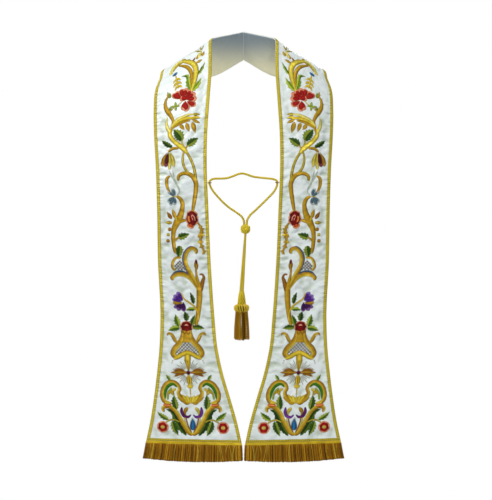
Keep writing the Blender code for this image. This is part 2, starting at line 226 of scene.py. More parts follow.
def unit(vectors):
    """Each vector divided by its own length."""
    return vectors / np.linalg.norm(vectors, axis=-1, keepdims=True)


def through(knots, values, at):
    """A smooth curve through values at knots: Hermite pieces whose slopes are the neighbours' mean."""
    steps = np.diff(knots)
    slopes = np.diff(values, axis=0) / steps[:, None]
    weight = (steps[1:] / (steps[1:] + steps[:-1]))[:, None]
    between = slopes[:-1] * weight + slopes[1:] * (1 - weight)
    tangents = np.concatenate([slopes[:1], between, slopes[-1:]])
    at = np.asarray(at, float)
    piece = np.clip(np.searchsorted(knots, at, side="right") - 1, 0, len(steps) - 1)
    step = steps[piece][..., None]
    t = (at - knots[piece])[..., None] / step
    start, end = values[piece], values[piece + 1]
    return (
        start * (1 + 2 * t) * (1 - t) ** 2
        + end * t**2 * (3 - 2 * t)
        + tangents[piece] * step * t * (1 - t) ** 2
        - tangents[piece + 1] * step * t**2 * (1 - t)
    )


def route(points, spacing):
    """Points about spacing apart on the smooth curve through a route's own points."""
    points = np.array(points, float)
    knots = np.concatenate([[0], np.cumsum(np.linalg.norm(np.diff(points, axis=0), axis=1))])
    return through(knots, points, np.linspace(0, knots[-1], round(knots[-1] / spacing) + 1))


def lengths(path):
    """The length of a path, or of each of several, up to each of its points."""
    steps = np.linalg.norm(np.diff(path, axis=-2), axis=-1)
    return np.concatenate([np.zeros_like(steps[..., :1]), np.cumsum(steps, axis=-1)], axis=-1)


def square_to(path, side):
    """Two directions square to a path and to each other. The first of them is side, made square."""
    along = unit(np.gradient(path, axis=-2))
    side = np.broadcast_to(side, path.shape)
    side = unit(side - (side * along).sum(-1, keepdims=True) * along)
    return side, np.cross(along, side)


def tube(path, radius, side, corners=8):
    """A round wall about each path: its point, plus radius times the cosine and the sine of the
    angle along two directions square to the path, of which side gives the first."""
    side, upward = square_to(path, side)
    angle = np.arange(corners) * 2 * math.pi / corners
    radius = np.broadcast_to(radius, path.shape[:-1])[..., None, None]
    round_it = side[..., None, :] * np.cos(angle)[:, None] + upward[..., None, :] * np.sin(angle)[:, None]
    points = path[..., None, :] + radius * round_it
    along_it = np.broadcast_to(lengths(path)[..., None], points.shape[:-1])
    return points, np.stack([along_it, radius[..., 0] * angle + 0 * along_it], axis=-1)


def twisted(path, thick, pitch, plies, side, corners=8, phase=0.0):
    """The plies of a rope: each a tube on a helix about the path, its turns a pitch long, sized so
    that they press into each other and reach the rope's thickness."""
    side, upward = square_to(path, side)
    ply = thick / 2 * PLY_SHARES[plies]
    turn = lengths(path) * 2 * math.pi / pitch + phase
    parts = []
    for number in range(plies):
        angle = (turn + number * 2 * math.pi / plies)[..., None]
        middle = path + (thick / 2 - ply) * (np.cos(angle) * side + np.sin(angle) * upward)
        grid, uv = tube(middle, ply, side, corners)
        # How far each point stands out from the rope's line; it sets the painted shade in the grooves between
        # plies
        reach = np.linalg.norm(grid - path[..., None, :], axis=-1) / (thick / 2)
        parts.append((grid, uv, np.clip((reach - 0.5) * 2, 0, 1)[..., None]))
    return parts


def mixed(deep, light, share):
    """A colour that lies a share of the way from a deep one to a light one."""
    return srgb(deep) * (1 - share) + srgb(light) * share


def thread_look(name, roughness, metallic, depth):
    """Spun thread, of gilt or of silk: the colour is each strand's own, with painted light and shade added,
    and fine yarns wind round it, so it glints in short streaks. The yarns are 0.4 mm, drawn at 0.9 mm so that
    they show."""
    look, shader = finish_of(
        name, GILT_MID, roughness=roughness, metallic=metallic, specular_ior_level=THREAD_GLOSS
    )
    tree = look.node_tree
    thread = add(tree, "ShaderNodeAttribute", attribute_name="thread")
    way = add(tree, "ShaderNodeTexCoord")
    speck = add(tree, "ShaderNodeTexNoise", {"Vector": way.outputs["Object"], "Scale": 420.0, "Detail": 2.0})
    worn = add(tree, "ShaderNodeMapRange", {"Value": speck.outputs["Fac"], "To Min": 0.72, "To Max": 1.22})
    colour = add(
        tree,
        "ShaderNodeVectorMath",
        {0: thread.outputs["Color"], 1: worn.outputs["Result"]},
        operation="MULTIPLY",
    )
    tree.links.new(colour.outputs["Vector"], shader.inputs["Base Color"])
    yarns = add(
        tree,
        "ShaderNodeTexWave",
        {"Vector": way.outputs["UV"], "Scale": 2 * WAVE_LONG / YARN, "Distortion": 1.5, "Detail": 1.0},
        bands_direction="DIAGONAL",
    )
    bump = add(
        tree,
        "ShaderNodeBump",
        {"Height": yarns.outputs["Fac"], "Strength": depth, "Distance": 0.4 * MM},
    )
    tree.links.new(bump.outputs["Normal"], shader.inputs["Normal"])
    return look


def strand_tones(count, seed, *codes):
    """A colour for each of many strands, drawn between the given ones, for a grid's last axis."""
    colours = np.array([srgb(code) for code in codes])
    place = np.random.default_rng(seed).random(count) * (len(colours) - 1)
    low = np.minimum(place.astype(int), len(colours) - 2)
    share = (place - low)[:, None]
    return (colours[low] * (1 - share) + colours[low + 1] * share)[:, None, None, :]


def in_plane(pairs):
    """Places across and up, at the depth where the cord hangs."""
    return [(x, CORD_Y, z) for x, z in pairs]


def paired_drop(half):
    """One cord's way from the ball to the tassel. The two start one before the other and turn
    until they lie nearly side by side. half is 1 or -1."""
    start = BALL_CENTRE - (0, 0, BALL_FLAT + CLEARANCE)
    end = np.array((TASSEL_X, CORD_Y, TASSEL_TOP + 2 * CLEARANCE))
    share = np.linspace(0, 1, 9)[:, None]
    turn = np.radians(PAIR_TURN[0] * (1 - share) + PAIR_TURN[1] * share)
    apart = np.concatenate([np.cos(turn), -np.sin(turn), 0 * turn], axis=1) * PAIR_APART / 2 * half
    way = start * (1 - share) + end * share + apart
    return [*way, way[-1] + (-apart[-1] * 0.2) - (0, 0, INTO_CONE)]


def fall(side, points):
    """A cord's whole way from its eye, down to the ball, through it and on to the tassel."""
    half = 1 if side == "right" else -1
    eye = np.array(EYE_PLACES[side]) - (0, 0, CLEARANCE / 2)
    above_ball = BALL_CENTRE + (half * PAIR_APART / 2, 0, BALL_FLAT + CLEARANCE)
    return [eye, *in_plane(points), above_ball, *paired_drop(half)]


def fitted(piece, slot, *replaced):
    """The piece, carried by the root, with the solids that it stands for hidden. slot is not used."""
    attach(piece, "root")
    if replaced:
        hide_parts(*replaced)
    return piece


def rope(name, points, *replaced):
    """A stretch of the cord, and the line that its plies wind about."""
    line = route(points, 1.3) * MM
    parts = []
    for grid, uv, proud in twisted(line[None], CORD_THICK, CORD_PITCH, 3, (0, 1, 0)):
        # Painted shade: the plies darken into the grooves between them and lighten where they stand out
        parts.append((grid, True, uv, mixed(GILT_DEEP, GILT_LIGHT, proud)))
    return fitted(surface(name, parts, gilt_cord), "cord", *replaced), line


gilt_cord = thread_look("gilt_viscose_cord", 0.34, 0.3, 0.5)
above_eyes = np.array([*EYE_PLACES.values()]) + (0, 0, CLEARANCE / 2)
bridge = rope("cord_bridge_rope", [above_eyes[0], *in_plane(BRIDGE), above_eyes[1]], "cord_bridge")
falls = {
    side: rope(f"cord_{side}_rope", fall(side, points), f"cord_high_{side}", f"cord_low_{side}")
    for side, points in (("left", LEFT_FALL), ("right", RIGHT_FALL))
}

# The slider ball. A wooden bead is covered with a Turk's head, one gilt cord followed
# three times round it, over and under itself, so that it grips both cords and slides along them.
BALL_CORE, BALL_BORE, BEAD_SHORT = 9.6 * MM, 3.2 * MM, 0.93
BALL_WEAVE, BALL_STRAND, STRANDS_APART = 10.2 * MM, 1.5 * MM, 2.7 * MM
BALL_LEADS, BALL_BIGHTS = 3, 5
BALL_REACH = math.radians(60)
OVER_UNDER = 0.55 * MM


def turks_head(offset):
    """A closed plait on a sphere: the longitude turns three times while the latitude swings five
    times to and fro, and the distance from the middle swings twice as often, over and under."""
    turn = np.linspace(0, 2 * math.pi, 361)
    longitude = BALL_LEADS * turn
    latitude = BALL_REACH * np.sin(BALL_BIGHTS * turn)
    reach = BALL_WEAVE + OVER_UNDER * np.sin(2 * BALL_BIGHTS * turn)
    outward = about_axis(longitude, np.cos(latitude), np.sin(latitude))
    path = outward * reach[:, None]
    beside = np.cross(unit(np.gradient(path, axis=0)), outward)
    return path + beside * offset, outward


def slider_ball(look):
    """Three turns of the plait side by side, with painted light where they stand proud and painted shade
    where they sink, round the bead's core.
    """
    centre = BALL_CENTRE * MM
    parts = []
    for offset in (-1, 0, 1):
        path, outward = turks_head(offset * STRANDS_APART)
        grid, uv = tube(path[None], BALL_STRAND, outward, 8)
        proud = np.linalg.norm(grid, axis=-1, keepdims=True) - BALL_WEAVE
        share = np.clip(0.5 + proud / (2 * BALL_STRAND), 0, 1)
        parts.append((grid + centre, True, uv, mixed(GILT_DEEP, GILT_LIGHT, share)))
    height = np.linspace(-1, 1, 15) * BALL_FLAT * MM * BEAD_SHORT
    reach = np.sqrt(np.maximum(BALL_CORE**2 - height**2, BALL_BORE**2))
    grid, uv = tube(about_axis(0, 0, height)[None], reach[None], (1, 0, 0), 24)
    parts.append((grid + centre, True, uv, srgb(GILT_DEEP)))
    return surface("slider_ball", parts, look)


gilt_plait = thread_look("gilt_plaited_cord", 0.34, 0.3, 0.6)
ball = fitted(slider_ball(gilt_plait), "cord", "cord_ball")

# The tassel. A netted cone of crossing gilt cords hides the cords' ends. Under it a ruff of bullion
# loops is sewn round its foot, and a skirt of thick twisted bullion hangs from inside the ruff.
CONE_TALL = 34.5 * MM
CONE_TOP_RADIUS, CONE_FOOT_RADIUS = 6.2 * MM, 11.0 * MM
NET_CORDS, NET_THICK, NET_TURN, NET_LIFT = 9, 0.95 * MM, 1.25, 0.35 * MM
NET_SHORT, NET_END_ROOM = 0.97, 0.4 * MM
CONE_UNDER_NET, CONE_END_ROOM = 1.5 * MM, 0.3 * MM
RUFF_LOOPS, LOOP_THICK, LOOP_PITCH = 17, 3.9 * MM, 9 * MM
RUFF_SLANT = 0.36
CORE_HEIGHTS, CORE_RADII = (-33.5, -36, -40, -45, -48.5, -50), (7, 10.2, 12.4, 12.4, 10.6, 8)
SKIRT_RINGS = [(14, 13.0 * MM, 17.4 * MM, 4.9 * MM), (9, 7.2 * MM, 10.0 * MM, 4.9 * MM)]
SKIRT_TOP, SKIRT_FOOT, SKIRT_PITCH = -675.0 * MM, -747.2 * MM, 13 * MM
SKIRT_SWAY, SKIRT_UNEVEN = 0.13, 3.5 * MM
LOOP_OUTLINE = [
    (8.6, 0.8), (12.8, 0.4), (16.4, -2.6), (17.1, -7.4), (15.4, -12.4), (11.6, -15.8), (8.2, -16.2),
]
# The dimming of the ruff's core is painted shade, deep among the loops
NET_BRIGHT, LOOPS_BRIGHT, CORE_DIM = 1.2, 1.25, 0.6
BULLION_LIGHT, BULLION_MID, BULLION_DEEP = "#ffd448", "#c68c14", "#6e4607"
axis_top = np.array((TASSEL_X, CORD_Y, TASSEL_TOP)) * MM


def cone_radius(down):
    """The cone's radius at a share of its height downwards, swelling a little in its middle."""
    swell = 0.5 * MM * np.sin(math.pi * down)
    return CONE_TOP_RADIUS + (CONE_FOOT_RADIUS - CONE_TOP_RADIUS) * down + swell


def netted_cone(look):
    """A cone inside a net of two sets of cords, wound opposite ways and lifted where they cross."""
    down = np.linspace(0, 1, 40)
    start = np.arange(NET_CORDS)[:, None] * 2 * math.pi / NET_CORDS
    parts = []
    for way in (1, -1):
        angle = start + way * NET_TURN * 2 * down
        lift = way * NET_LIFT * np.cos(NET_CORDS * angle - way * math.pi / 2)
        reach = cone_radius(down) - NET_THICK * 1.1 + lift
        path = about_axis(angle, reach, -down * CONE_TALL * NET_SHORT - NET_END_ROOM)
        grid, uv = tube(path, NET_THICK, about_axis(angle, 1, 0), 6)
        parts.append((grid + axis_top, True, uv, srgb(GILT_LIGHT) * NET_BRIGHT))
    middle = about_axis(0, 0, -down * (CONE_TALL - 2 * CONE_END_ROOM) - CONE_END_ROOM)
    grid, uv = tube(middle[None], cone_radius(down)[None] - CONE_UNDER_NET, (1, 0, 0), 24)
    parts.append((grid + axis_top, True, uv, srgb(BULLION_DEEP)))
    return surface("netted_cone", parts, look)


def bullion_parts(path, thick, pitch, tones, side, phase):
    """Two-ply twisted strands with the tones of each, darkened with a painted shade in the grooves between
    their plies, moved to the tassel's axis.
    """
    parts = []
    for grid, uv, proud in twisted(path, thick, pitch, 2, side, corners=6, phase=phase):
        parts.append((grid + axis_top * (1, 1, 0), True, uv, tones * (0.2 + 0.85 * proud)))
    return parts


def ruff(look):
    """Loops round the cone's foot: each runs out, down and back in, slanting round the tassel. A wound core
    fills the middle of them, darkened as painted shade deep among the loops."""
    outline = route([(x, 0, z) for x, z in LOOP_OUTLINE], 1.1) * MM
    share = np.linspace(0, 1, len(outline))
    start = np.arange(RUFF_LOOPS)[:, None] * 2 * math.pi / RUFF_LOOPS
    uneven = 1 + 0.05 * np.sin(2.3 * np.arange(RUFF_LOOPS))[:, None]
    angle = start + RUFF_SLANT * (share - 0.5)
    path = about_axis(angle, outline[:, 0] * uneven, axis_top[2] - CONE_TALL + outline[:, 2])
    around = about_axis(angle + math.pi / 2, 1, 0)
    tones = strand_tones(RUFF_LOOPS, 5, GILT_LIGHT, BULLION_LIGHT) * LOOPS_BRIGHT
    parts = bullion_parts(path, LOOP_THICK, LOOP_PITCH, tones, around, 0.0)
    middle = axis_top + np.array([(0, 0, z) for z in CORE_HEIGHTS]) * MM
    grid, uv = tube(middle[None], np.array(CORE_RADII)[None] * MM, (1, 0, 0), 24)
    return surface("tassel_ruff", [*parts, (grid, True, uv, srgb(BULLION_DEEP) * CORE_DIM)], look)


def skirt(look):
    """Rings of strands hanging from the ruff: each spreads a little, sways its own way and ends at
    its own height. The inner ring closes the skirt's middle."""
    drop = np.linspace(0, 1, 56)
    rng = np.random.default_rng(11)
    parts = []
    for count, top_radius, foot_radius, thick in SKIRT_RINGS:
        start = np.arange(count)[:, None] * 2 * math.pi / count
        sway = rng.uniform(-SKIRT_SWAY, SKIRT_SWAY, (count, 1))
        wave = rng.uniform(0, 6.28, (count, 1))
        angle = start + sway * drop**1.3 + 0.03 * np.sin(5 * drop + wave)
        spread = (foot_radius - top_radius) * rng.uniform(0.9, 1.02, (count, 1))
        foot = SKIRT_FOOT + rng.uniform(0, SKIRT_UNEVEN, (count, 1))
        reach = top_radius + spread * np.sin(drop * math.pi / 2)
        path = about_axis(angle, reach, SKIRT_TOP + (foot - SKIRT_TOP) * drop)
        around = about_axis(angle + math.pi / 2, 1, 0)
        tones = strand_tones(count, count, BULLION_DEEP, BULLION_MID, BULLION_MID, BULLION_LIGHT)
        parts += bullion_parts(path, thick, SKIRT_PITCH, tones, around, wave)
    return surface("tassel_skirt_strands", parts, look)


bullion = thread_look("old_gold_bullion", 0.4, 0.25, 0.6)
cone = fitted(netted_cone(gilt_plait), "cord", "tassel_cone")
loops = fitted(ruff(bullion), "cord")
strands = fitted(skirt(bullion), "fringe", "tassel_skirt")

# The eyes. A ring of wire is whipped close with gilt thread and sewn to each strip's inner edge.
EYE_RING, EYE_WIRE, EYE_WRAPS, EYE_BRIGHT = 4.5 * MM, 1.0 * MM, 26, 1.3


def whipped_eye(name, place, look):
    """A ring whose wire swells at each wrap of thread: a circle carried round a circle."""
    turn = np.linspace(0, 2 * math.pi, EYE_WRAPS * 5 + 1)
    wire = EYE_WIRE * (0.9 + 0.16 * np.abs(np.sin(turn * EYE_WRAPS / 2)))
    grid, uv = tube(about_axis(turn, EYE_RING, 0)[None], wire[None], (0, 0, 1), 8)
    return surface(name, [(grid + np.array(place) * MM, True, uv, srgb(GILT_DEEP) * EYE_BRIGHT)], look)


for side, place in EYE_PLACES.items():
    fitted(whipped_eye(f"whipped_eye_{side}", place, gilt_plait), "cord", f"eye_{side}")

# The strips' form. Each strip runs from its hem up the chest, over a shoulder and round to the
# mitred seam at the nape. This is the surface that its solid has, for the right-hand strip, with
# the creases and puckers of its real cloth added. The left-hand one is its mirror image.
BRAID_WIDE = 8.2 * MM
# Each section, in millimetres: its inner edge's x, y and z, its outer edge's, and its crown's height
SECTIONS = {
    "hem": (3.0, -178, -1006.5, 240.1, -172, -1000.8, 3.0),
    "low flare": (16.1, -180, -947.5, 227.9, -176, -944.5, 4.0),
    "flare": (32.9, -182, -888.5, 219.3, -178, -889, 4.0),
    "high flare": (51.4, -182, -825, 211.3, -179, -825, 3.0),
    "waist of the spade": (64.2, -181, -763.5, 205.6, -178, -764, 2.5),
    "knee": (70.8, -180, -695, 203.4, -177, -695, 2.5),
    "hip": (80.4, -182, -553, 209.5, -178, -553, 3.0),
    "midriff": (85.8, -185, -425.5, 211.6, -178, -425.5, 4.0),
    "bust": (90.0, -179, -312.7, 215.9, -165, -316.8, 6.0),
    "chest": (89.3, -166, -243, 220.4, -147, -256.2, 7.0),
    "collarbone": (84.2, -140, -151.4, 223.8, -121, -179.3, 7.0),
    "shoulder slope": (80.2, -108, -77.6, 221.7, -97, -126.5, 6.0),
    "front of ridge": (80.6, -79, -25, 213.0, -75, -96.3, 3.5),
    "ridge": (80.8, -52, 8.7, 204.3, -46, -69.3, 1.0),
    "back of ridge": (68.0, -41, 16.5, 160.0, 6, -82, 2.5),
    "shoulder blade": (42.0, -32, 23.5, 84.0, 30, -73.5, 2.5),
    "nape seam": (0.0, -22.8, 33.5, 0.0, 27.2, -30.1, 0.0),
}
ROWS = np.array([*SECTIONS.values()], float) * MM
KNOTS = lengths((ROWS[:, 0:3] + ROWS[:, 3:6]) / 2)

# Creases, in millimetres: up from the hem, out from the strip's middle, half their reach and their
# spread, their turn from level in degrees, and how far they stand proud or sink in
Crease = namedtuple("Crease", "up out reach spread turn depth")
CREASES = [Crease(*row) for row in (
    (34, -98, 24, 6.8, 62, 1.4), (28, 94, 29, 6.1, 78, -1.6), (95, -84, 22, 6.1, 80, -1.3),
    (118, 84, 26, 5.4, 82, 1.3), (176, -62, 20, 4.7, 24, -1.6), (196, -50, 24, 4.7, -12, -1.8),
    (188, 60, 20, 4.7, 40, 1.3), (214, 56, 18, 4.1, 64, -1.4), (236, -50, 18, 4.7, 6, -1.8),
    (244, -46, 15, 3.5, 12, 1.3), (266, -48, 24, 4.3, 42, -1.9), (262, 56, 20, 5.4, 66, -1.3),
    (292, -46, 15, 4.1, -8, 1.3), (308, -52, 18, 4.1, 30, -1.4), (318, 52, 29, 6.8, 76, -1.6),
    (344, -48, 15, 4.6, -4, -1.8), (352, 46, 33, 8.1, 84, 1.4), (376, -52, 13, 4.1, 10, 1.1),
    (384, 20, 22, 6.8, 58, -1.6), (402, 44, 24, 5.4, 34, -1.4), (432, -50, 15, 4.1, -6, -1.6),
    (446, -46, 18, 3.8, 4, 1.3), (454, -42, 20, 4.1, 2, -1.8), (470, 46, 20, 6.1, 74, -1.3),
    (488, 42, 20, 4.9, 22, -1.8), (498, -24, 20, 4.6, -14, -1.3), (506, 48, 15, 3.8, 8, 1.3),
    (520, -20, 18, 4.6, 18, -1.4), (548, -48, 13, 3.8, 4, -1.8), (557, -50, 11, 3.2, -3, 1.4),
    (566, -48, 13, 3.8, 0, -1.8), (574, 46, 15, 4.1, 10, -1.6), (586, -12, 22, 5.4, 66, -1.3),
    (600, 44, 15, 4.1, -6, 1.3), (606, -44, 20, 4.1, -16, -1.9), (618, 44, 13, 3.8, 4, -1.8),
    (630, -48, 15, 4.1, 14, -1.8), (640, 48, 11, 3.5, -2, 1.3), (655, -50, 13, 3.8, 20, -1.8),
    (664, 46, 13, 4.1, 6, -1.8), (668, 16, 22, 6.8, 80, -1.6), (680, -44, 15, 4.1, 28, -1.6),
    (690, 46, 13, 3.5, -8, -1.6), (703, -38, 20, 3.8, -2, -2.1), (704, 10, 13, 4.1, 4, -1.3),
    (716, 46, 15, 4.6, 6, -1.8), (722, -44, 18, 4.3, -8, 1.3), (734, 48, 13, 3.8, 12, -1.6),
    (745, 48, 13, 3.2, 8, 1.3), (755, 48, 13, 3.5, 14, -1.6), (776, 44, 18, 4.1, 16, -1.6),
    (800, 44, 20, 6.8, 70, -1.3), (846, 56, 15, 5.4, 60, 1.1), (880, -52, 20, 6.8, 78, -1.1),
    (930, 52, 29, 8.1, 66, 1.1), (1010, -20, 48, 9.5, 48, -1.4), (1052, 20, 44, 10.8, 30, 1.4),
    (1096, -4, 33, 8.1, 38, -1.3),
)]
PUCKER_DEEP, PUCKER_REACH = 0.7 * MM, 20 * MM
# Above SHOULDER_UP the cloth is stretched, and over SHOULDER_WITHIN that takes a share of the cockles
SHOULDER_UP, SHOULDER_WITHIN, SHOULDER_STRETCH = 780, 80, 0.6
# Cockles, in millimetres: a wave's length, its turn from level in degrees, and how high it stands
Cockle = namedtuple("Cockle", "long turn height")
COCKLES = [
    Cockle(15, 28, 0.2), Cockle(19, -35, 0.26), Cockle(24, 8, 0.34), Cockle(29, 62, 0.36),
    Cockle(37, -64, 0.42), Cockle(52, -12, 0.5), Cockle(74, 40, 0.6),
]


def strip_surface(run, across):
    """Points of the strip's outer face: run is the length up from the hem, and across is 0 at the
    inner edge and 1 at the outer. A crown bows the straight section between them."""
    run, across = np.broadcast_arrays(np.asarray(run, float), np.asarray(across, float))
    rows, near = through(KNOTS, ROWS, run), through(KNOTS, ROWS, run + MM)
    inner, outer, crown = rows[..., 0:3], rows[..., 3:6], rows[..., 6:7]
    upward = (near[..., 0:3] + near[..., 3:6] - inner - outer) / 2
    outward = unit(np.cross(outer - inner, upward))
    part = across[..., None]
    return inner * (1 - part) + outer * part + outward * crown * 4 * part * (1 - part)


def width_at(run):
    """How far apart the strip's two edges are at a run."""
    rows = through(KNOTS, ROWS, run)
    return np.linalg.norm(rows[..., 3:6] - rows[..., 0:3], axis=-1)


def crease_height(run, across):
    """How far the cloth stands off its form: each crease is a bell across its line that fades
    towards its two ends, the puckers beside the braids are three waves of unlike lengths, and
    cockles, bent waves that run seven ways, lie all over, lower where the shoulders stretch it."""
    wide = width_at(run)
    up, out = run / MM, (across - 0.5) * wide / MM
    height = np.zeros(np.broadcast(up, out).shape)
    for crease in CREASES:
        turn = math.radians(crease.turn)
        rise, reach = up - crease.up, out - crease.out
        along = reach * math.cos(turn) + rise * math.sin(turn)
        beside = rise * math.cos(turn) - reach * math.sin(turn)
        fade = np.clip(1 - (along / crease.reach) ** 2, 0, None) ** 2
        height += crease.depth * MM * fade * np.exp(-((beside / crease.spread) ** 2))
    from_edge = (0.5 - np.abs(across - 0.5)) * wide
    beside_braid = np.clip(1 - (from_edge - BRAID_WIDE) / PUCKER_REACH, 0, 1) ** 1.5
    waves = np.sin(up / 1.31 + 2 * np.sin(up / 23)) + 0.8 * np.sin(up / 1.93 + 1) + 0.7 * np.sin(up / 3.1)
    height += PUCKER_DEEP * beside_braid * waves * (0.55 + 0.45 * np.sin(up / 37 + 4 * across))
    calm = 1 - SHOULDER_STRETCH * np.clip((up - SHOULDER_UP) / SHOULDER_WITHIN, 0, 1)
    for number, cockle in enumerate(COCKLES):
        turn = math.radians(cockle.turn)
        beside = up * math.cos(turn) - out * math.sin(turn)
        bend = 2.2 * np.sin(up / 23 + number) + 1.6 * np.sin(out / 13 + up / 41 + 2 * number)
        height += calm * cockle.height * MM * np.sin(beside * 2 * math.pi / cockle.long + bend)
    return height * np.clip(from_edge / BRAID_WIDE, 0, 1)


def on_cloth(run, across, lift):
    """Points that stand a lift off the creased cloth, kept half a gap clear of the nape seam."""
    run, across = np.broadcast_arrays(np.asarray(run, float), np.asarray(across, float))
    here = strip_surface(run, across)
    along = strip_surface(run + MM, across) - here
    normal = unit(np.cross(strip_surface(run, across + 0.01) - here, along))
    points = here + normal * (crease_height(run, across) + lift)[..., None]
    points[..., 0] = np.maximum(points[..., 0], CLEARANCE / 2 * MM)
    return points


def there_and_back(over, under):
    """Two grids as one: the first one's columns, and then the second one's from the last to the first."""
    return np.concatenate([over, under[:, ::-1]], axis=1)


def wall(runs, columns, top, bottom, tone=None):
    """A closed wall of cloth: its rows climb the strip, and its columns run out across the top and
    back across the underside. Its UV is metres up the strip and out from its middle."""
    run, across = np.broadcast_arrays(runs[:, None], columns)
    grid = there_and_back(on_cloth(run, across, top), on_cloth(run, across, bottom))
    flat = np.stack([(across - 0.5) * width_at(run), run], axis=-1)
    tone = None if tone is None else there_and_back(tone, tone)
    return grid[None], True, there_and_back(flat, flat)[None], tone


def both_sides(name, parts, look, slot="satin", *replaced):
    """The right-hand piece and its mirror image on the left, each carried by the root, with the solids that
    it stands for hidden.
    """
    made = {}
    for side in ("right", "left"):
        piece = surface(f"{name}_{side}", parts, look, mirrored=side == "left")
        made[side] = fitted(piece, slot, *(f"{solid}_{side}" for solid in replaced))
    return made


# The faces. Heavy white duchess satin over an interlining, cut to the strip's outline. The
# embroidery has drawn it up, so it puckers beside the braid and between the stems.
FACE_THICK = 1.5 * MM
FACE_STEP, FACE_COLUMNS = 2.3 * MM, 46
SATIN_WHITE, SATIN_SHADE = "#f2f6f5", "#dde7e2"
# Painted shade: the face is greyed towards a cool tint in its sunk creases, fully where they sink 1.6 mm
TROUGH, CREASE_SHADE_TINT = 1.6 * MM, "#dde1d3"


def satin_look():
    """Duchess satin: long floats lie one way, so it is smooth with a broad cool sheen, and shows a
    fine rib. The warp's floats are 0.3 mm, and the rib is drawn at 1.5 mm so that it shows."""
    sheen = {"sheen_weight": 0.12, "sheen_roughness": 0.35}
    look, shader = finish_of(
        "duchess_satin", SATIN_WHITE, roughness=0.42, specular_ior_level=0.45, **sheen
    )
    tree = look.node_tree
    way = add(tree, "ShaderNodeTexCoord")
    cloud = add(tree, "ShaderNodeTexNoise", {"Vector": way.outputs["Object"], "Scale": 26.0, "Detail": 3.0})
    tint = add(
        tree,
        "ShaderNodeMix",
        {"Factor": cloud.outputs["Fac"], "A": (*srgb(SATIN_SHADE), 1), "B": (*srgb(SATIN_WHITE), 1)},
        data_type="RGBA",
    )
    # The face's colour attribute brings the painted shade of its creases
    crease_shade = add(tree, "ShaderNodeAttribute", attribute_name="thread")
    shade = add(
        tree,
        "ShaderNodeVectorMath",
        {0: tint.outputs["Result"], 1: crease_shade.outputs["Color"]},
        operation="MULTIPLY",
    )
    tree.links.new(shade.outputs["Vector"], shader.inputs["Base Color"])
    rib = add(
        tree,
        "ShaderNodeTexWave",
        {"Vector": way.outputs["UV"], "Scale": WAVE_LONG / (1.5 * MM), "Distortion": 0.6},
        bands_direction="Y",
    )
    ripple = add(tree, "ShaderNodeTexNoise", {"Vector": way.outputs["UV"], "Scale": 62.0, "Detail": 2.0})
    fine = add(tree, "ShaderNodeBump", {"Height": rib.outputs["Fac"], "Strength": 0.25, "Distance": 0.1 * MM})
    soft = add(
        tree,
        "ShaderNodeBump",
        {
            "Height": ripple.outputs["Fac"],
            "Strength": 1.0,
            "Distance": 4.0 * MM,
            "Normal": fine.outputs["Normal"],
        },
    )
    tree.links.new(soft.outputs["Normal"], shader.inputs["Normal"])
    return look


face_runs = np.linspace(0, KNOTS[-1], round(KNOTS[-1] / FACE_STEP))
face_columns = np.linspace(0, 1, FACE_COLUMNS)
# Painted shade in the creases: each point of the face darkens with how deep its crease sinks
sunk = np.clip(crease_height(face_runs[:, None], face_columns) / TROUGH, -1, 1)[..., None]
face_crease_shade = np.where(sunk < 0, 1 + (1 - srgb(CREASE_SHADE_TINT)) * sunk, 1.0)
face = wall(face_runs, face_columns, 0.0, -FACE_THICK, face_crease_shade)
faces = both_sides("satin_face", [face], satin_look(), "satin", "face")
strip_area = float(np.mean(width_at(face_runs)) * KNOTS[-1])

# The linings. Plain cream taffeta, cut as the face and sewn to it under the braid. Towards the nape it is
# painted a slate-grey shade, the shadow inside the collar, which pales to cream within the depth of the
# collar.
LINING_TOP, LINING_UNDER = -1.8 * MM, -2.8 * MM
LINING_STEP, LINING_COLUMNS = 3.4 * MM, 36
# The slate grey is painted shade, the collar's shadow at the nape; the lining itself is cream
LINING_PAINTED_SHADE, LINING_CREAM = "#909ea8", "#fbf6d4"
PAINTED_SHADE_ABOVE, CREAM_BELOW = 24 * MM, -66 * MM


def lining_look():
    """Taffeta: a crisp plain weave, slightly shiny, cream, with a painted slate-grey shade that deepens with
    height towards the nape. Its threads are 0.25 mm, drawn at 1.2 mm so that they show."""
    look, shader = finish_of("lining_taffeta", LINING_CREAM, roughness=0.55, sheen_weight=0.15)
    tree = look.node_tree
    way = add(tree, "ShaderNodeTexCoord")
    place = add(tree, "ShaderNodeSeparateXYZ", {"Vector": way.outputs["Object"]})
    rise = add(
        tree,
        "ShaderNodeMapRange",
        {"Value": place.outputs["Z"], "From Min": CREAM_BELOW, "From Max": PAINTED_SHADE_ABOVE},
        interpolation_type="SMOOTHSTEP",
    )
    # Painted shade: slate grey high at the nape, paling to the lining's cream lower down
    tint = add(
        tree,
        "ShaderNodeMix",
        {"Factor": rise.outputs["Result"], "A": (*srgb(LINING_CREAM), 1), "B": (*srgb(LINING_PAINTED_SHADE), 1)},
        data_type="RGBA",
    )
    tree.links.new(tint.outputs["Result"], shader.inputs["Base Color"])
    weave = add(tree, "ShaderNodeTexNoise", {"Vector": way.outputs["UV"], "Scale": 1 / (1.2 * MM)})
    bump = add(
        tree,
        "ShaderNodeBump",
        {"Height": weave.outputs["Fac"], "Strength": 0.3, "Distance": 0.15 * MM},
    )
    tree.links.new(bump.outputs["Normal"], shader.inputs["Normal"])
    return look


lining_runs = np.linspace(0, KNOTS[-1], round(KNOTS[-1] / LINING_STEP))
lining = wall(lining_runs, np.linspace(0, 1, LINING_COLUMNS), LINING_TOP, LINING_UNDER)
linings = both_sides("taffeta_lining", [lining], lining_look(), "lining", "lining")

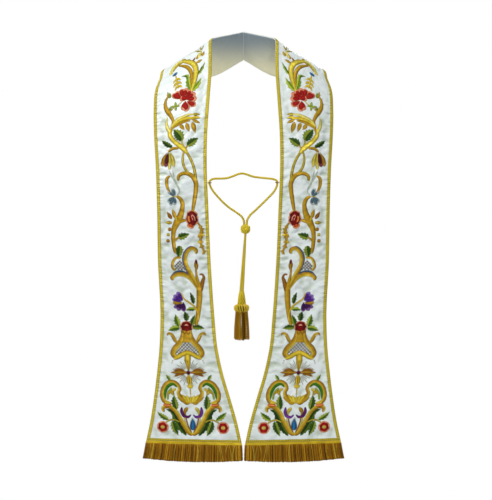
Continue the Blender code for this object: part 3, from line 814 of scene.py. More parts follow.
# The braids. Flat gilt braid, woven in close ribs that meet in a point along its middle, is sewn
# down both long edges from the nape to the hem, and a narrower one lies across the hem.
BRAID_STEP, BRAID_PITCH = 0.85 * MM, 5.2 * MM
BRAID_UNDER, BRAID_LIFT, BRAID_RIB = 0.3 * MM, 1.0 * MM, 0.85 * MM
BRAID_COLUMNS, HEM_BRAID_COLUMNS, RIB_SLANT, HEM_BRAID_DIM = 7, 240, 0.55, 0.85
HEADER_TALL, HEM_BRAID_TALL = 7.4 * MM, 5.6 * MM
BRAID_LIGHT, BRAID_DEEP = "#ffec4c", "#5e3e04"


def ribbed(place, along):
    """Lift and tone of a braid: a low arch across it, with ribs that slant back from the middle, and a tone
    that is painted shade, darkest in the grooves between ribs and towards the edges.
    """
    rib = 0.5 + 0.5 * np.cos(2 * math.pi * (along / BRAID_PITCH + RIB_SLANT * np.abs(place)))
    lift = BRAID_LIFT * (1 - 0.45 * np.abs(place) ** 3) + BRAID_RIB * (rib - 0.5)
    # Painted shade in the grooves between ribs and towards both edges
    share = (0.15 + 0.85 * rib * (1 - 0.35 * np.abs(place) ** 2))[..., None]
    return lift, mixed(BRAID_DEEP, BRAID_LIGHT, share)


def edge_braid(name, outer):
    """A braid down one edge: a wall whose columns keep their distance from that edge."""
    foot = HEADER_TALL + HEM_BRAID_TALL + CLEARANCE * MM
    runs = np.linspace(foot, KNOTS[-1], round((KNOTS[-1] - foot) / BRAID_STEP))
    place, wide = np.linspace(-1, 1, BRAID_COLUMNS), (BRAID_WIDE / width_at(runs))[:, None]
    columns = (0.5 + place / 2) * wide + (1 - wide) * outer
    lift, tone = ribbed(place, runs[:, None])
    return both_sides(name, [wall(runs, columns, lift, BRAID_UNDER, tone)], gilt_braid, "braid", name)


def hem_braid():
    """The narrow braid across the hem, from one edge of the strip to the other."""
    columns = np.linspace(0, 1, HEM_BRAID_COLUMNS)
    runs = np.linspace(HEADER_TALL + CLEARANCE * MM, HEADER_TALL + HEM_BRAID_TALL, BRAID_COLUMNS)
    lift, tone = ribbed(np.linspace(-1, 1, BRAID_COLUMNS)[:, None], columns * width_at(runs[0]))
    lift[[0, -1]] = BRAID_UNDER + 0.15 * MM
    braid = wall(runs, columns, lift, BRAID_UNDER, tone * HEM_BRAID_DIM)
    return both_sides("hem_braid", [braid], gilt_braid, "braid", "hem_braid")


gilt_braid = thread_look("gilt_braid", 0.4, 0.3, 0.5)
inner_braids = edge_braid("inner_braid", 0)
outer_braids = edge_braid("outer_braid", 1)
hem_braids = hem_braid()

# The fringes. Old-gold bullion, each strand twisted, hangs in two rows from a bright gilt heading
# that is sewn over the hem. A few strands of bright twist stand out among the rest.
FRINGE_STRANDS, STRAND_ROWS = 205, 12
FRINGE_LONG, FRINGE_BELLY = 39.0 * MM, 5.5 * MM
FRINGE_LEAN = (-1.5 * MM, 7.5 * MM)
STRAND_HALF, STRAND_UNEVEN = 1.14 * MM, 2.2 * MM
BRIGHT_ROWS, BRIGHT_THICK, BRIGHT_PITCH, IN_FRONT = 40, 2.2 * MM, 5.5 * MM, -0.9
HEADER_LIFT, HEADER_GRAIN, HEADER_COLUMNS, HEADER_ROWS = 1.15 * MM, 0.3 * MM, 261, 9
HEADER_KNOT_WIDE, HEADER_KNOT_TALL = 0.5 * MM, 0.42 * MM
HEADER_BRIGHT, HEADER_DEEP = "#f2d232", "#a8800c"
FRINGE_TONES = ("#5e3c04", "#96640a", "#b88210", "#784c04", "#e4ac26")
BRIGHT_TONES = ("#d8a82a", "#f0d452")
# Where each bright strand hangs across the hem, and its sway and its bend in millimetres
BRIGHT_STRANDS = [
    (0.915, 0.5, 0.3), (0.685, 1.2, 1.2), (0.47, -0.8, -3.4), (0.245, 3.2, -2.5), (0.232, -5.0, 1.5),
    (0.225, -8.5, 0.6), (0.15, 6.0, 2.5), (0.135, -6.0, -2.2), (0.075, 5.5, 2.0), (0.03, 1.6, 2.6),
]


def hanging(place, sway, row, rows, seed):
    """Paths of strands down from the hem: straight down by a length that is greatest in the middle
    of the hem, a lean that grows outwards, and a slow wave of each strand's own."""
    rng = np.random.default_rng(seed)
    drop = np.linspace(0, 1, rows)
    top = on_cloth(0.9 * MM, place, 0.35 * MM - row * 0.9 * MM)
    lean = FRINGE_LEAN[0] * (1 - place) + FRINGE_LEAN[1] * place + sway
    long = FRINGE_LONG + FRINGE_BELLY * np.sin(math.pi * place) - rng.uniform(0, STRAND_UNEVEN, place.shape)
    wave, shift = rng.uniform(-0.8, 0.8, (2, *place.shape)) * MM
    path = np.repeat(top[:, None], rows, axis=1)
    path[..., 0] += lean[:, None] * drop + wave[:, None] * np.sin(drop * math.pi)
    path[..., 1] += shift[:, None] * np.sin(drop * 2.6) - 0.3 * MM * np.sin(drop * math.pi)
    path[..., 2] -= long[:, None] * drop
    return path


def fringe_strands():
    """Two rows of square strands, each turned about its own line as it goes down, so that it reads
    as a twist, and the bright ones in front as real two-ply twists."""
    parts = []
    for row, seed in ((0, 21), (1, 22)):
        pitch = 1 / FRINGE_STRANDS
        place = (np.arange(FRINGE_STRANDS - row) + 0.5 + 0.5 * row) * pitch
        path = hanging(place, 0.0, row, STRAND_ROWS, seed)
        spin = np.linspace(0, 1.7 * math.pi, STRAND_ROWS)[None] + 2.1 * np.arange(len(place))[:, None]
        grid, uv = tube(path, STRAND_HALF, about_axis(spin, 1, 0), 4)
        # The back row is darkened by two fifths, a painted shade behind the front row
        parts.append((grid, True, uv, strand_tones(len(place), seed, *FRINGE_TONES) * (1 - 0.4 * row)))
    place, sway, bend = np.array(BRIGHT_STRANDS).T
    path = hanging(place, sway * MM, IN_FRONT, BRIGHT_ROWS, 23)
    path[..., 0] += bend[:, None] * MM * np.sin(np.linspace(0, math.pi, BRIGHT_ROWS))
    # Painted shade in the grooves of the bright twists, painted light where they stand out
    for grid, uv, proud in twisted(path, BRIGHT_THICK, BRIGHT_PITCH, 2, (0, 1, 0), corners=6):
        tones = strand_tones(len(place), 4, *BRIGHT_TONES)
        parts.append((grid, True, uv, tones * (0.35 + 0.65 * proud)))
    return parts


def fringe_heading():
    """The heading over the hem: a wall with a grain of small even knots, painted lighter on their tops and
    darker in the hollows between them.
    """
    columns, runs = np.linspace(0, 1, HEADER_COLUMNS), np.linspace(0, HEADER_TALL, HEADER_ROWS)
    along, rise = columns * width_at(0.0), runs[:, None]
    uneven = 2 * np.sin(along / (9 * MM))
    knot = np.sin(along / HEADER_KNOT_WIDE + uneven) * np.cos(rise / HEADER_KNOT_TALL)
    lift = HEADER_LIFT + HEADER_GRAIN * knot
    # Painted light and shade: the tone follows each knot's height
    tone = mixed(HEADER_DEEP, HEADER_BRIGHT, (0.62 + 0.38 * knot)[..., None])
    return [wall(runs, columns, lift, BRAID_UNDER, tone)]


headings = both_sides("fringe_heading", fringe_heading(), gilt_braid, "fringe")
fringes = both_sides("fringe_strands", fringe_strands(), bullion, "fringe", "fringe")

# The embroidery's stems and scrolls. Padded work: cords of soft cotton are laid on the satin first,
# then covered edge to edge with gilt thread, so each stands about a millimetre proud. In the
# embroidery's tables a place is out from the strip's middle and up from its hem, in millimetres, half
# is half the width, and a twin is the line, if any, that a row is mirrored about.
STITCH_STEP, STITCH_RIDGE, TUCK = 1.6, 0.08, 0.18
TEETH_BITE, VEIN_WIDE, VEIN_DEEP = 0.5, 0.16, 0.4
PADDING, OVER_OTHERS = 1.2, 1.2
# Each thread's tones at a patch's left edge, along its middle and at its right edge. In the gilt ones the
# lighter middle or side is a painted highlight and the darker edge a painted shade, as light falls on the
# padded stem; inward and outward are lit on opposite sides
THREADS = {
    "bright": ("#a07814", "#ead03a", "#b88c16"),
    "amber": ("#bc9a2e", "#c4981e", "#80600e"),
    "brown": ("#74460a", "#a66e1a", "#603808"),
    "pale": ("#c9b23a", "#f3e880", "#cfb136"),
    "inward": ("#94680f", "#bf9422", "#f0dc52"),
    "outward": ("#f0dc52", "#bf9422", "#94680f"),
    "olive": ("#8c7a18", "#c9b23c", "#7e6e14"),
    "slate": ("#24384c", "#4f6a84", "#22344a"),
    "blush": ("#d9765a", "#f4b196", "#cf6648"),
    "ember": ("#c04c18", "#f0924a", "#b04010"),
    "violet": ("#5a2478", "#7a3c9c", "#34104e"),
    "frost": ("#98a48c", "#c8d0bc", "#98a48c"),
    "plum": ("#3a1044", "#6a2468", "#2c0a36"),
    "lemon": ("#a07c1c", "#f2e04e", "#b48c1c"),
}
Stem = namedtuple("Stem", "tone half places twin", defaults=[None])
STEMS = [Stem(*row) for row in (
    ("inward", (3, 4.4, 5, 5.4, 5.6, 5.6, 5.4, 4), [(71, 79), (73, 89), (64, 94), (53, 91), (42, 80),
        (33, 63), (21, 42), (10, 28), (2, 24)], 3),
    ("brown", (1.4, 1.6, 1.4), [(19, 69), (16, 54), (11, 40), (5, 29)], 3),
    ("bright", (1.1, 1.3, 1.1), [(23, 68), (20, 53), (14, 38), (8, 29)], 3),
    ("outward", (3, 4.6, 5, 5, 5, 4.6, 4.2, 4, 4, 5, 6, 5), [(54, 102), (68, 107), (72, 122), (68, 138),
        (59, 150), (45, 155), (33, 149), (28, 138), (32, 127), (28, 118), (18, 110), (3, 105)], 3),
    ("ember", (2.4, 3.2, 2.4), [(72, 98.5), (62, 97), (51, 96.5)], 3),
    ("bright", (2, 3.4, 2), [(68, 104), (60, 102), (51, 103)], 3),
    ("amber", (1.2, 3, 3.2, 1.4), [(61, 119), (56, 127), (49, 131), (42, 127)], 3),
    ("olive", (2, 2, 1.5), [(34, 55), (44, 60), (56, 60), (69, 53)], 3),
    ("amber", (3.4, 4.6, 5.4, 6, 6.4, 5, 2.6, 2.4), [(-20, 292), (-25, 312), (-29, 336), (-32, 360),
        (-33, 384), (-30, 402), (-28, 420), (-28, 436)]),
    ("brown", (4.4, 4.8, 4.6, 3.6, 2.4, 1.8), [(-36, 376), (-39, 389), (-43, 402), (-46, 412),
        (-42, 418), (-35, 417)]),
    ("inward", (5, 6, 6, 5.4, 5, 4.6, 4), [(-33, 380), (-24, 397), (-11, 411), (6, 418), (21, 417),
        (32, 409), (29, 403)]),
    ("outward", (5, 5.6, 5.6, 5.4, 5, 4.6, 4.4, 3.8), [(-33, 382), (-22, 401), (-13, 421), (-4, 440),
        (-2, 456), (-8, 473), (-20, 482), (-30, 477), (-29, 468)]),
    ("slate", (1, 1.9, 2, 1.2), [(-11, 416), (2, 424.5), (12, 426), (24, 423), (34, 413)]),
    ("slate", (1, 1.9, 2, 1.2), [(-9, 416), (-1, 436), (3, 455), (-2, 473), (-14, 485), (-20, 487)]),
    ("inward", (1.8, 3, 3.2, 2.4), [(7, 459), (20, 458), (28, 447), (29, 434), (23, 427)]),
    ("amber", (3.4, 4.2, 4.6, 5, 6.5, 8, 6.5, 5, 4.4, 3), [(21, 469), (24, 490), (25, 510), (22, 529),
        (14, 546), (6, 561), (1, 578), (0, 591), (7, 605), (15, 609)]),
    ("amber", (3.6, 4, 2.6), [(15, 543), (4, 548), (-8, 551)]),
    ("amber", (2.6, 2.2, 1.6), [(22, 500), (15, 506), (9, 510)]),
    ("amber", (3, 4, 4.6, 4.8, 5.2, 5.2, 4.6, 3.8, 2.8), [(-24, 570), (-30, 600), (-34, 622),
        (-35, 642), (-28, 656), (-15, 664), (-2, 664), (7, 657), (8, 646)]),
    ("olive", (3, 3.2, 3, 3, 2.5), [(-36, 645), (-34, 666), (-29, 688), (-20, 708), (-12, 722)]),
    ("olive", (3, 2.8, 2.8, 2.4, 2), [(-18, 664), (-9, 678), (-5, 695), (-7, 712), (-11, 722)]),
    ("amber", (2, 3.6, 3.8, 3, 1.6), [(27, 660), (34, 655), (37, 642), (34, 627), (28, 617)]),
    ("lemon", (3, 6, 5.5, 5, 5, 4), [(-18, 712), (-8, 725), (6, 738), (18, 750), (26, 765), (27, 782)]),
    ("amber", (2.6, 3.6, 2.4), [(4, 727), (18, 728), (31, 720)]),
    ("olive", (2, 2, 1.4), [(-9, 724), (-6, 736), (-3, 750)]),
    ("amber", (2, 2, 1.4), [(-11, 722), (-15, 729), (-20, 735)]),
    ("pale", (3.6, 4, 3, 1.4), [(27, 772), (33, 786), (36, 800), (34, 815)]),
    ("amber", (2.2, 3, 3.4, 4), [(24, 768), (21, 783), (18, 798), (23, 815)]),
    ("olive", (1.8, 1.8, 1.2), [(31, 826), (24, 832), (16, 839)]),
    ("pale", (1, 1.5, 1.4), [(12, 842), (3, 845), (-3, 850)]),
    ("plum", (1.2, 3, 3.6, 3.4, 1.6), [(5, 74), (13, 68), (22, 70), (27, 79), (27, 93)]),
    ("violet", (1.2, 3, 3.6, 3.4, 1.6), [(1, 74), (-7, 68), (-16, 70), (-21, 79), (-21, 93)]),
    ("bright", (2.4, 2.4, 2.2, 2, 1.8, 1.4), [(-26, 304), (-26, 324), (-18, 339), (-6, 349), (6, 358),
        (12, 372)]),
    ("blush", (1, 1.4, 1), [(-30, 548), (-28, 558), (-23, 563), (-21, 556)]),
    ("ember", (1.6, 2.8, 2), [(-18, 545), (-14, 552), (-15, 561)]),
    ("blush", (0.8, 1.2, 0.8), [(-25, 549), (-23, 556), (-24, 551)]),
    ("frost", (0.8, 1.3, 1.3, 1.3, 0.8), [(21, 674), (18, 655), (13, 640), (7, 628), (7, 618),
        (13, 611)]),
    ("frost", (0.8, 1.1, 1.1, 0.8), [(29, 672), (22, 654), (14, 640), (8, 626)]),
    ("blush", (1, 2.2, 1), [(-2, 292), (3, 294), (8, 292)]),
)]
Patch = namedtuple("Patch", "flat lift uv tone")


def outline_of(kind, t, slim):
    """A patch's share of its full width along it. A band is round at both ends and a block square.
    A leaf swells before its middle and a petal after it, and a drop sooner than a leaf. slim is how
    many times longer than half its width the patch is."""
    from_end = np.clip(1 - np.minimum(t, 1 - t) * slim, 0, 1)
    shapes = {
        "band": np.sqrt(1 - from_end**2),
        "block": np.ones_like(t),
        "round": np.sqrt(np.clip(1 - (2 * t - 1) ** 2, 0, 1)),
        "leaf": np.sin(math.pi * t**0.78).clip(0) ** 0.9,
        "petal": np.sin(math.pi * t**1.55).clip(0) ** 0.55,
        "drop": np.sin(math.pi * t**0.62).clip(0) ** 0.75,
    }
    return np.maximum(shapes[kind], 0.06)


def stitched(places, half, tones, outline="leaf", height=1.1, base=0.0, teeth=0):
    """A padded patch. Its spine runs through the places, its half width follows its outline, and it is a low
    dome, tucked into the satin all round. The tones run from its left edge over its middle to its right edge,
    and both edges are darkened with a painted shadow where the dome meets the satin, with a faint stripe
    between the lines of stitches. One with teeth, which lean to its tip, has a tone for each half and its
    middle tone in a sunk vein between them."""
    span = float(lengths(np.array(places, float))[-1])
    rows = max(7, round(span / STITCH_STEP), 6 * teeth + 1)
    t = np.linspace(0, 1, rows)
    spine = route(places, span / (rows - 0.9))[:rows]
    spine = spine if len(spine) == rows else through(np.linspace(0, 1, len(spine)), spine, t)
    along = unit(np.gradient(spine, axis=0))
    beside = np.stack([along[:, 1], -along[:, 0]], axis=1)
    halves = np.atleast_1d(np.array(half, float))
    wide = halves[0] * np.ones(rows)
    if len(halves) > 1:
        wide = through(np.linspace(0, 1, len(halves)), halves[:, None], t)[:, 0]
    shape = outline_of(outline, t, span / max(halves.mean(), 0.1))
    notch = 1 + TEETH_BITE * ((t * teeth) % 1 - 0.6) * (t < 0.92) if teeth else 1.0
    place = np.linspace(-1, 1, 9 if halves.max() > 2.6 else 5)
    flat = spine[:, None] + beside[:, None] * ((wide * shape * notch)[:, None] * place)[..., None]
    dome = (1 - np.abs(place) ** 2.6) * np.clip(shape * 1.3, 0, 1)[:, None] ** 0.6
    ridge = STITCH_RIDGE * (np.arange(rows) % 2)[:, None] * (np.abs(place) < 0.99)
    lift = base - TUCK + (height + TUCK) * dome + ridge
    left, middle, right = (srgb(code) for code in tones)
    share = np.ones_like(place[:, None]) if teeth else np.abs(place[:, None])
    tone = middle * (1 - share) + np.where(place[:, None] < 0, left, right) * share
    # Painted shadow at both edges of the dome, and a faint stripe between the lines of stitches
    edge_shade_and_stitches = 1 - 0.66 * np.abs(place) ** 4 + 0.1 * (np.arange(len(place)) % 2)
    stripe = 1 + 0.1 * np.sin(2.2 * np.arange(rows) + 3 * np.sin(0.7 * np.arange(rows)))
    tone = tone * edge_shade_and_stitches[:, None] * stripe[:, None, None]
    if teeth:
        line = np.exp(-((place / VEIN_WIDE) ** 2)) * ((t > 0.04) & (t < 0.9))[:, None]
        lift = lift - VEIN_DEEP * line
        tone = tone * (1 - line[..., None]) + middle * line[..., None]
    reach = np.broadcast_to(place * halves.mean() * MM, lift.shape)
    uv = np.stack([np.broadcast_to((t * span * MM)[:, None], lift.shape), reach], axis=-1)
    return Patch(flat, lift, uv, tone)


def twins(row):
    """A row's places, and those places mirrored about its twin line if it has one."""
    if row.twin is None:
        return [row.places]
    return [row.places, [(2 * row.twin - out, up) for out, up in row.places]]


def worked(row, outline="band", height=1.1, base=0.0):
    """A row's padded patch, and its mirror image with its tones turned round."""
    tones, half = THREADS[row.tone], np.multiply(row.half, PADDING)
    return [
        stitched(places, half, way, outline, height, base)
        for places, way in zip(twins(row), (tones, tones[::-1]))
    ]


def sewn(name, motifs, look):
    """Both sides' embroidery of one kind. A motif is a list of patches, and the places of all the
    motifs' patches are put on the cloth at once."""
    patches = [patch for motif in motifs for patch in motif]
    flat = np.concatenate([patch.flat.reshape(-1, 2) for patch in patches])
    lift = np.concatenate([patch.lift.ravel() for patch in patches])
    run = flat[:, 1] * MM
    points = on_cloth(run, 0.5 + flat[:, 0] * MM / width_at(run), lift * MM)
    ends = np.cumsum([patch.lift.size for patch in patches])
    parts = [
        (cut.reshape(1, *patch.flat.shape[:2], 3), False, patch.uv, patch.tone)
        for cut, patch in zip(np.split(points, ends[:-1]), patches)
    ]
    return both_sides(name, parts, look)


gilt_work = thread_look("gilt_passing_thread", 0.4, 0.3, 0.5)
stem_motifs = []
for number, row in enumerate(STEMS):
    base = OVER_OTHERS if row.tone in ("blush", "ember") else 0.0
    stem_motifs.append(worked(row, height=1.0 + 0.15 * (number % 3), base=base))
stems = sewn("gilt_stems", stem_motifs, gilt_work)

# The acanthus. Larger scrolls end in plumes: a stem with leaflets that lean to its tip, on one side
# of it or both. Other leaflets of the same gilt work stand alone between the motifs.
LEAFLET_FULL = 1.25
Plume = namedtuple(
    "Plume", "tone half places sides count long lean plump twin", defaults=["", 0, 0, 0, 0, None]
)
PLUMES = [Plume(*row) for row in (
    ("pale", (3, 4, 4, 3, 1.5), [(23, 786), (10, 800), (-6, 807), (-22, 811), (-36, 810)]),
    ("bright", (3, 4, 4.4, 4, 2), [(23, 784), (10, 794), (-6, 800), (-22, 802), (-38, 799)]),
    ("amber", (2.4, 3.6, 3, 1.6), [(22, 782), (8, 789), (-8, 794), (-26, 795)]),
    ("amber", (3, 4.6, 5, 4.4, 3.4, 2.4, 1), [(19, 803), (25, 817), (33, 829), (40, 845), (41, 862),
        (36, 876), (38, 891)], "r", 6, 9, 48, 0.13),
    ("lemon", (3, 4.6, 6, 6.4, 6.4, 6, 5, 3.6), [(-25, 872), (-30, 890), (-34, 910), (-34, 930),
        (-27, 948), (-14, 963), (0, 975), (14, 984)], "l", 8, 12, 34, 0.2),
    ("amber", (2, 4, 4.4, 4.2, 4, 2), [(-23, 884), (-25, 908), (-20, 930), (-9, 948), (5, 962),
        (19, 972)], "r", 5, 9, 34, 0.2),
    ("pale", (4.4, 5.4, 5, 3), [(8, 981), (20, 985), (32, 979), (39, 967),
        (40, 952)], "r", 6, 14, 40, 0.18),
    ("olive", (2.2, 3.2, 2.2), [(8, 974), (20, 976), (29, 970), (34, 960)], "l", 5, 14, 44, 0.2),
    ("amber", (1.6, 2.8, 3.2, 3, 3, 2.8, 2.4, 2), [(-35, 546), (-42, 535), (-45, 522), (-42, 509),
        (-42, 496), (-46, 482), (-50, 471), (-44, 468)], "lr", 6, 9, 62, 0.24),
    ("bright", (1.4, 2, 1.6), [(22, 938), (18, 923), (14, 908), (9, 890)], "lr", 3, 20, 36, 0.17),
    ("brown", (2.4, 3, 1.6), [(6, 177), (20, 178), (32, 177)], "lr", 5, 20, 36, 0.095, 2.5),
)]
LEAFLETS = [Stem(*row) for row in (
    ("amber", 3.2, [(-41, 524), (-52, 531)]), ("bright", 3.2, [(-42, 516), (-53, 513)]),
    ("amber", 3.2, [(-43, 518), (-35, 508)]), ("bright", 2.8, [(-42, 500), (-34, 494)]),
    ("olive", 3.4, [(-30, 811), (-50, 809)]), ("bright", 3.6, [(-30, 804), (-52, 799)]),
    ("amber", 3.2, [(-30, 798), (-50, 786)]), ("amber", 5.0, [(-30, 792), (-38, 763)]),
    ("amber", 4.4, [(-15, 791), (-23, 767)]), ("amber", 4.2, [(1, 789), (-11, 773)]),
    ("amber", 4.2, [(18, 554), (25, 578)]), ("brown", 4.0, [(27, 553), (39, 571)]),
    ("olive", 3.8, [(26, 544), (45, 545)]), ("bright", 3.0, [(16, 548), (17, 560)]),
    ("amber", 3.8, [(-33, 950), (-51, 951)]), ("olive", 3.2, [(-14, 966), (-6, 978)]),
    ("olive", 3.2, [(-2, 976), (12, 992)]), ("brown", 3.0, [(-22, 960), (-30, 970)]),
    ("pale", 5.0, [(-37, 962), (-46, 984)]), ("amber", 3.8, [(-48, 962), (-54, 976)]),
    ("amber", 3.6, [(-35, 960), (-36, 974)]), ("olive", 2.4, [(-44, 982), (-24, 994)]),
    ("olive", 2.0, [(-46, 984), (-52, 1000)]), ("olive", 1.8, [(-45, 984), (-40, 1004)]),
    ("brown", 2.6, [(28, 177), (47, 177.5)], 2.5), ("amber", 4.6, [(12, 104), (36, 117)], 3),
    ("amber", 5.0, [(6, 101), (26, 108)], 3), ("bright", 4.8, [(9, 102), (24, 124)], 3),
    ("lemon", 4.4, [(6, 102), (13, 123)], 3), ("bright", 3.6, [(3, 100), (3, 122)]),
    ("bright", 2.8, [(2, 139), (10, 147)], 2), ("bright", 3.0, [(47, 132), (36, 138)], 3),
    ("olive", 3.0, [(50, 131), (42, 120)], 3),
)]


def plume(row):
    """Its stem, then leaflets whose length swells and falls along it, each turned by its lean from
    the stem's own direction, on its left, its right or both."""
    patches = worked(row, height=1.15)
    spine = route(row.places, 1.0)
    along = unit(np.gradient(spine, axis=0))
    for side in row.sides:
        turn = math.radians(row.lean) * (1 if side == "l" else -1)
        for number in range(1, row.count + 1):
            at = round(number / (row.count + 1) * (len(spine) - 1))
            forward, beside = along[at], np.array((-along[at][1], along[at][0]))
            long = row.long * (0.65 + 0.35 * math.sin(math.pi * number / (row.count + 1)))
            tip = spine[at] + (forward * math.cos(turn) + beside * math.sin(turn)) * long
            patches += worked(Stem(row.tone, long * row.plump, [spine[at], tip], row.twin), "leaf", 0.9)
    return patches


leaflets = [
    stitched(places, row.half * LEAFLET_FULL, THREADS[row.tone]) for row in LEAFLETS for places in twins(row)
]
acanthus = sewn("gilt_acanthus", [*map(plume, PLUMES), leaflets], gilt_work)

# The leaves. Silk floss in three greens to a leaf, laid from the vein to a toothed edge, light on
# one half and dark on the other. Smooth slips of green also line the scrolls of the lowest motif.
LEAF_FULL = 1.12
# Each silk's tones on a leaf's light half, in its vein and on its dark half
GREENS = {
    "dark": ("#4c6a14", "#102004", "#213e08"),
    "mid": ("#8a9c2c", "#182e05", "#34560c"),
    "bright": ("#a8b838", "#264206", "#4c7010"),
    "slip": ("#447c16", "#1a4406", "#30600a"),
    "lime": ("#bccc3e", "#4a6a0a", "#7c9e18"),
    "moss": ("#8a9636", "#4c5a14", "#6a7620"),
}
Leaf = namedtuple("Leaf", "green half teeth places shape twin", defaults=["leaf", None])
LEAVES = [Leaf(*row) for row in (
    ("mid", 8.6, 6, [(39, 86), (43, 103), (43, 123)], "leaf", 3),
    ("bright", 6.4, 5, [(61, 60), (75, 68), (88, 80)], "leaf", 3),
    ("mid", 8.2, 6, [(52, 58), (47, 40), (38, 21)], "leaf", 3),
    ("bright", 4.2, 3, [(49, 158), (54, 165), (59, 172)], "leaf", 3),
    ("dark", (1, 5.6, 8, 7, 2), 8, [(66, 87), (53, 81), (42, 63), (33, 42), (18, 22)], "band", 3),
    ("slip", (0.8, 4.4, 5.2, 4.6, 1.6), 0, [(66, 110), (64, 134), (55, 146), (43, 150),
        (34, 141)], "band", 3),
    ("bright", 2.6, 0, [(60, 110), (57, 128), (47, 140)], "band", 3),
    ("mid", 7, 5, [(-10, 288), (-26, 288), (-41, 285)]),
    ("bright", 7.5, 5, [(19, 287), (35, 285), (48, 280)]),
    ("mid", 7, 5, [(-8, 291), (-14, 305), (-19, 319)]), ("dark", 7.5, 4, [(2, 303), (3, 315), (6, 327)]),
    ("bright", 7.5, 5, [(21, 289), (26, 304), (29, 320)]),
    ("dark", 5.6, 4, [(-17, 345), (-15, 359), (-10, 374)]),
    ("bright", 5.4, 3, [(-20, 331), (-9, 333), (3, 330)]),
    ("mid", 9.5, 5, [(14, 457), (12, 470), (9, 488)], "petal"),
    ("mid", 8.6, 4, [(13, 508), (0, 512), (-15, 517)], "drop"),
    ("mid", 10, 5, [(-16, 733), (-31, 742), (-45, 750)]),
    ("mid", 12.5, 6, [(-6, 746), (4, 763), (17, 779)]),
    ("dark", 6.6, 5, [(19, 731), (34, 741), (48, 755)]),
    ("lime", 7.5, 4, [(-24, 872), (-38, 884), (-50, 903)]),
    ("lime", 6.6, 5, [(-23, 876), (-16, 900), (-14, 926)]),
    ("bright", 4, 3, [(-16, 908), (-8, 922), (5, 926)]),
    ("bright", 4.4, 3, [(-38, 912), (-48, 924), (-58, 942)]),
    ("bright", 3.0, 0, [(14, 840), (14, 846), (16, 854)]),
    ("bright", 3.0, 0, [(14, 840), (8, 840), (2, 838)]),
    ("bright", 3.0, 0, [(14, 840), (21, 841), (29, 843)]),
    ("bright", 3.0, 0, [(14, 840), (13, 834), (11, 826)]),
    ("moss", 3.4, 0, [(24, 833), (28, 837), (31, 840)], "band"),
    ("moss", 3.6, 0, [(30, 868), (31, 876), (35, 885)], "band"),
)]


def leaf(row):
    """A leaf with a vein and teeth, or a smooth slip, light along its middle and dark at its edges."""
    light, vein, dark = GREENS[row.green]
    tones = (light, vein, dark) if row.teeth else (dark, light, dark)
    half = np.multiply(row.half, LEAF_FULL)
    return [stitched(places, half, tones, row.shape, 1.0, teeth=row.teeth) for places in twins(row)]


silk_floss = thread_look("silk_floss", 0.52, 0.0, 0.45)
leaves = sewn("silk_leaves", map(leaf, LEAVES), silk_floss)

# The flowers. Roses, a carnation, tulips, a columbine and a bell, all in silk floss. A flower's
# petals are all worked in its rim's colour first, and then each has a deeper body laid on it.
RIM_FULL, BODY_FULL, BODY_LONG, PETAL_OVERLAP = 1.15, 0.8, 0.88, 1.9
# Each silk's rim and body, with three tones of each
PETALS = {
    "rose": (("#dc865e", "#e89c74", "#cf7450"), ("#4e0202", "#860804", "#440202")),
    "coral": (("#e08058", "#f0a47e", "#d87048"), ("#7a0503", "#b4140a", "#660402")),
    "ember": (("#e88a50", "#f6b078", "#dd7838"), ("#a82c0c", "#d85a24", "#9a240a")),
    "violet": (("#7a52ac", "#9a76c4", "#6a42a0"), ("#2e0d5a", "#5a2a96", "#2a0a4c")),
    "plum": (("#6a4080", "#83589a", "#5c3472"), ("#2a0a34", "#441656", "#24082c")),
    "blue": (("#3a76a6", "#5f9cc4", "#2c6494"), ("#0f3560", "#2a74ac", "#06182e")),
    "slate": (("#a8b8b8", "#ccd4cc", "#98a8aa"), ("#2c404a", "#5e7c88", "#222f38")),
    "wine": (("#6e2a34", "#8a4450", "#5c1f2a"), ("#34070f", "#521420", "#2a040a")),
    "honey": (("#8a6410", "#c89a2c", "#7c560c"), ("#7a5a10", "#b88a20", "#5e4208")),
    "straw": (("#b9a52e", "#ecde78", "#a8922a"), ("#a08a1c", "#d9c850", "#8c7616")),
}
Petal = namedtuple("Petal", "silk half places")
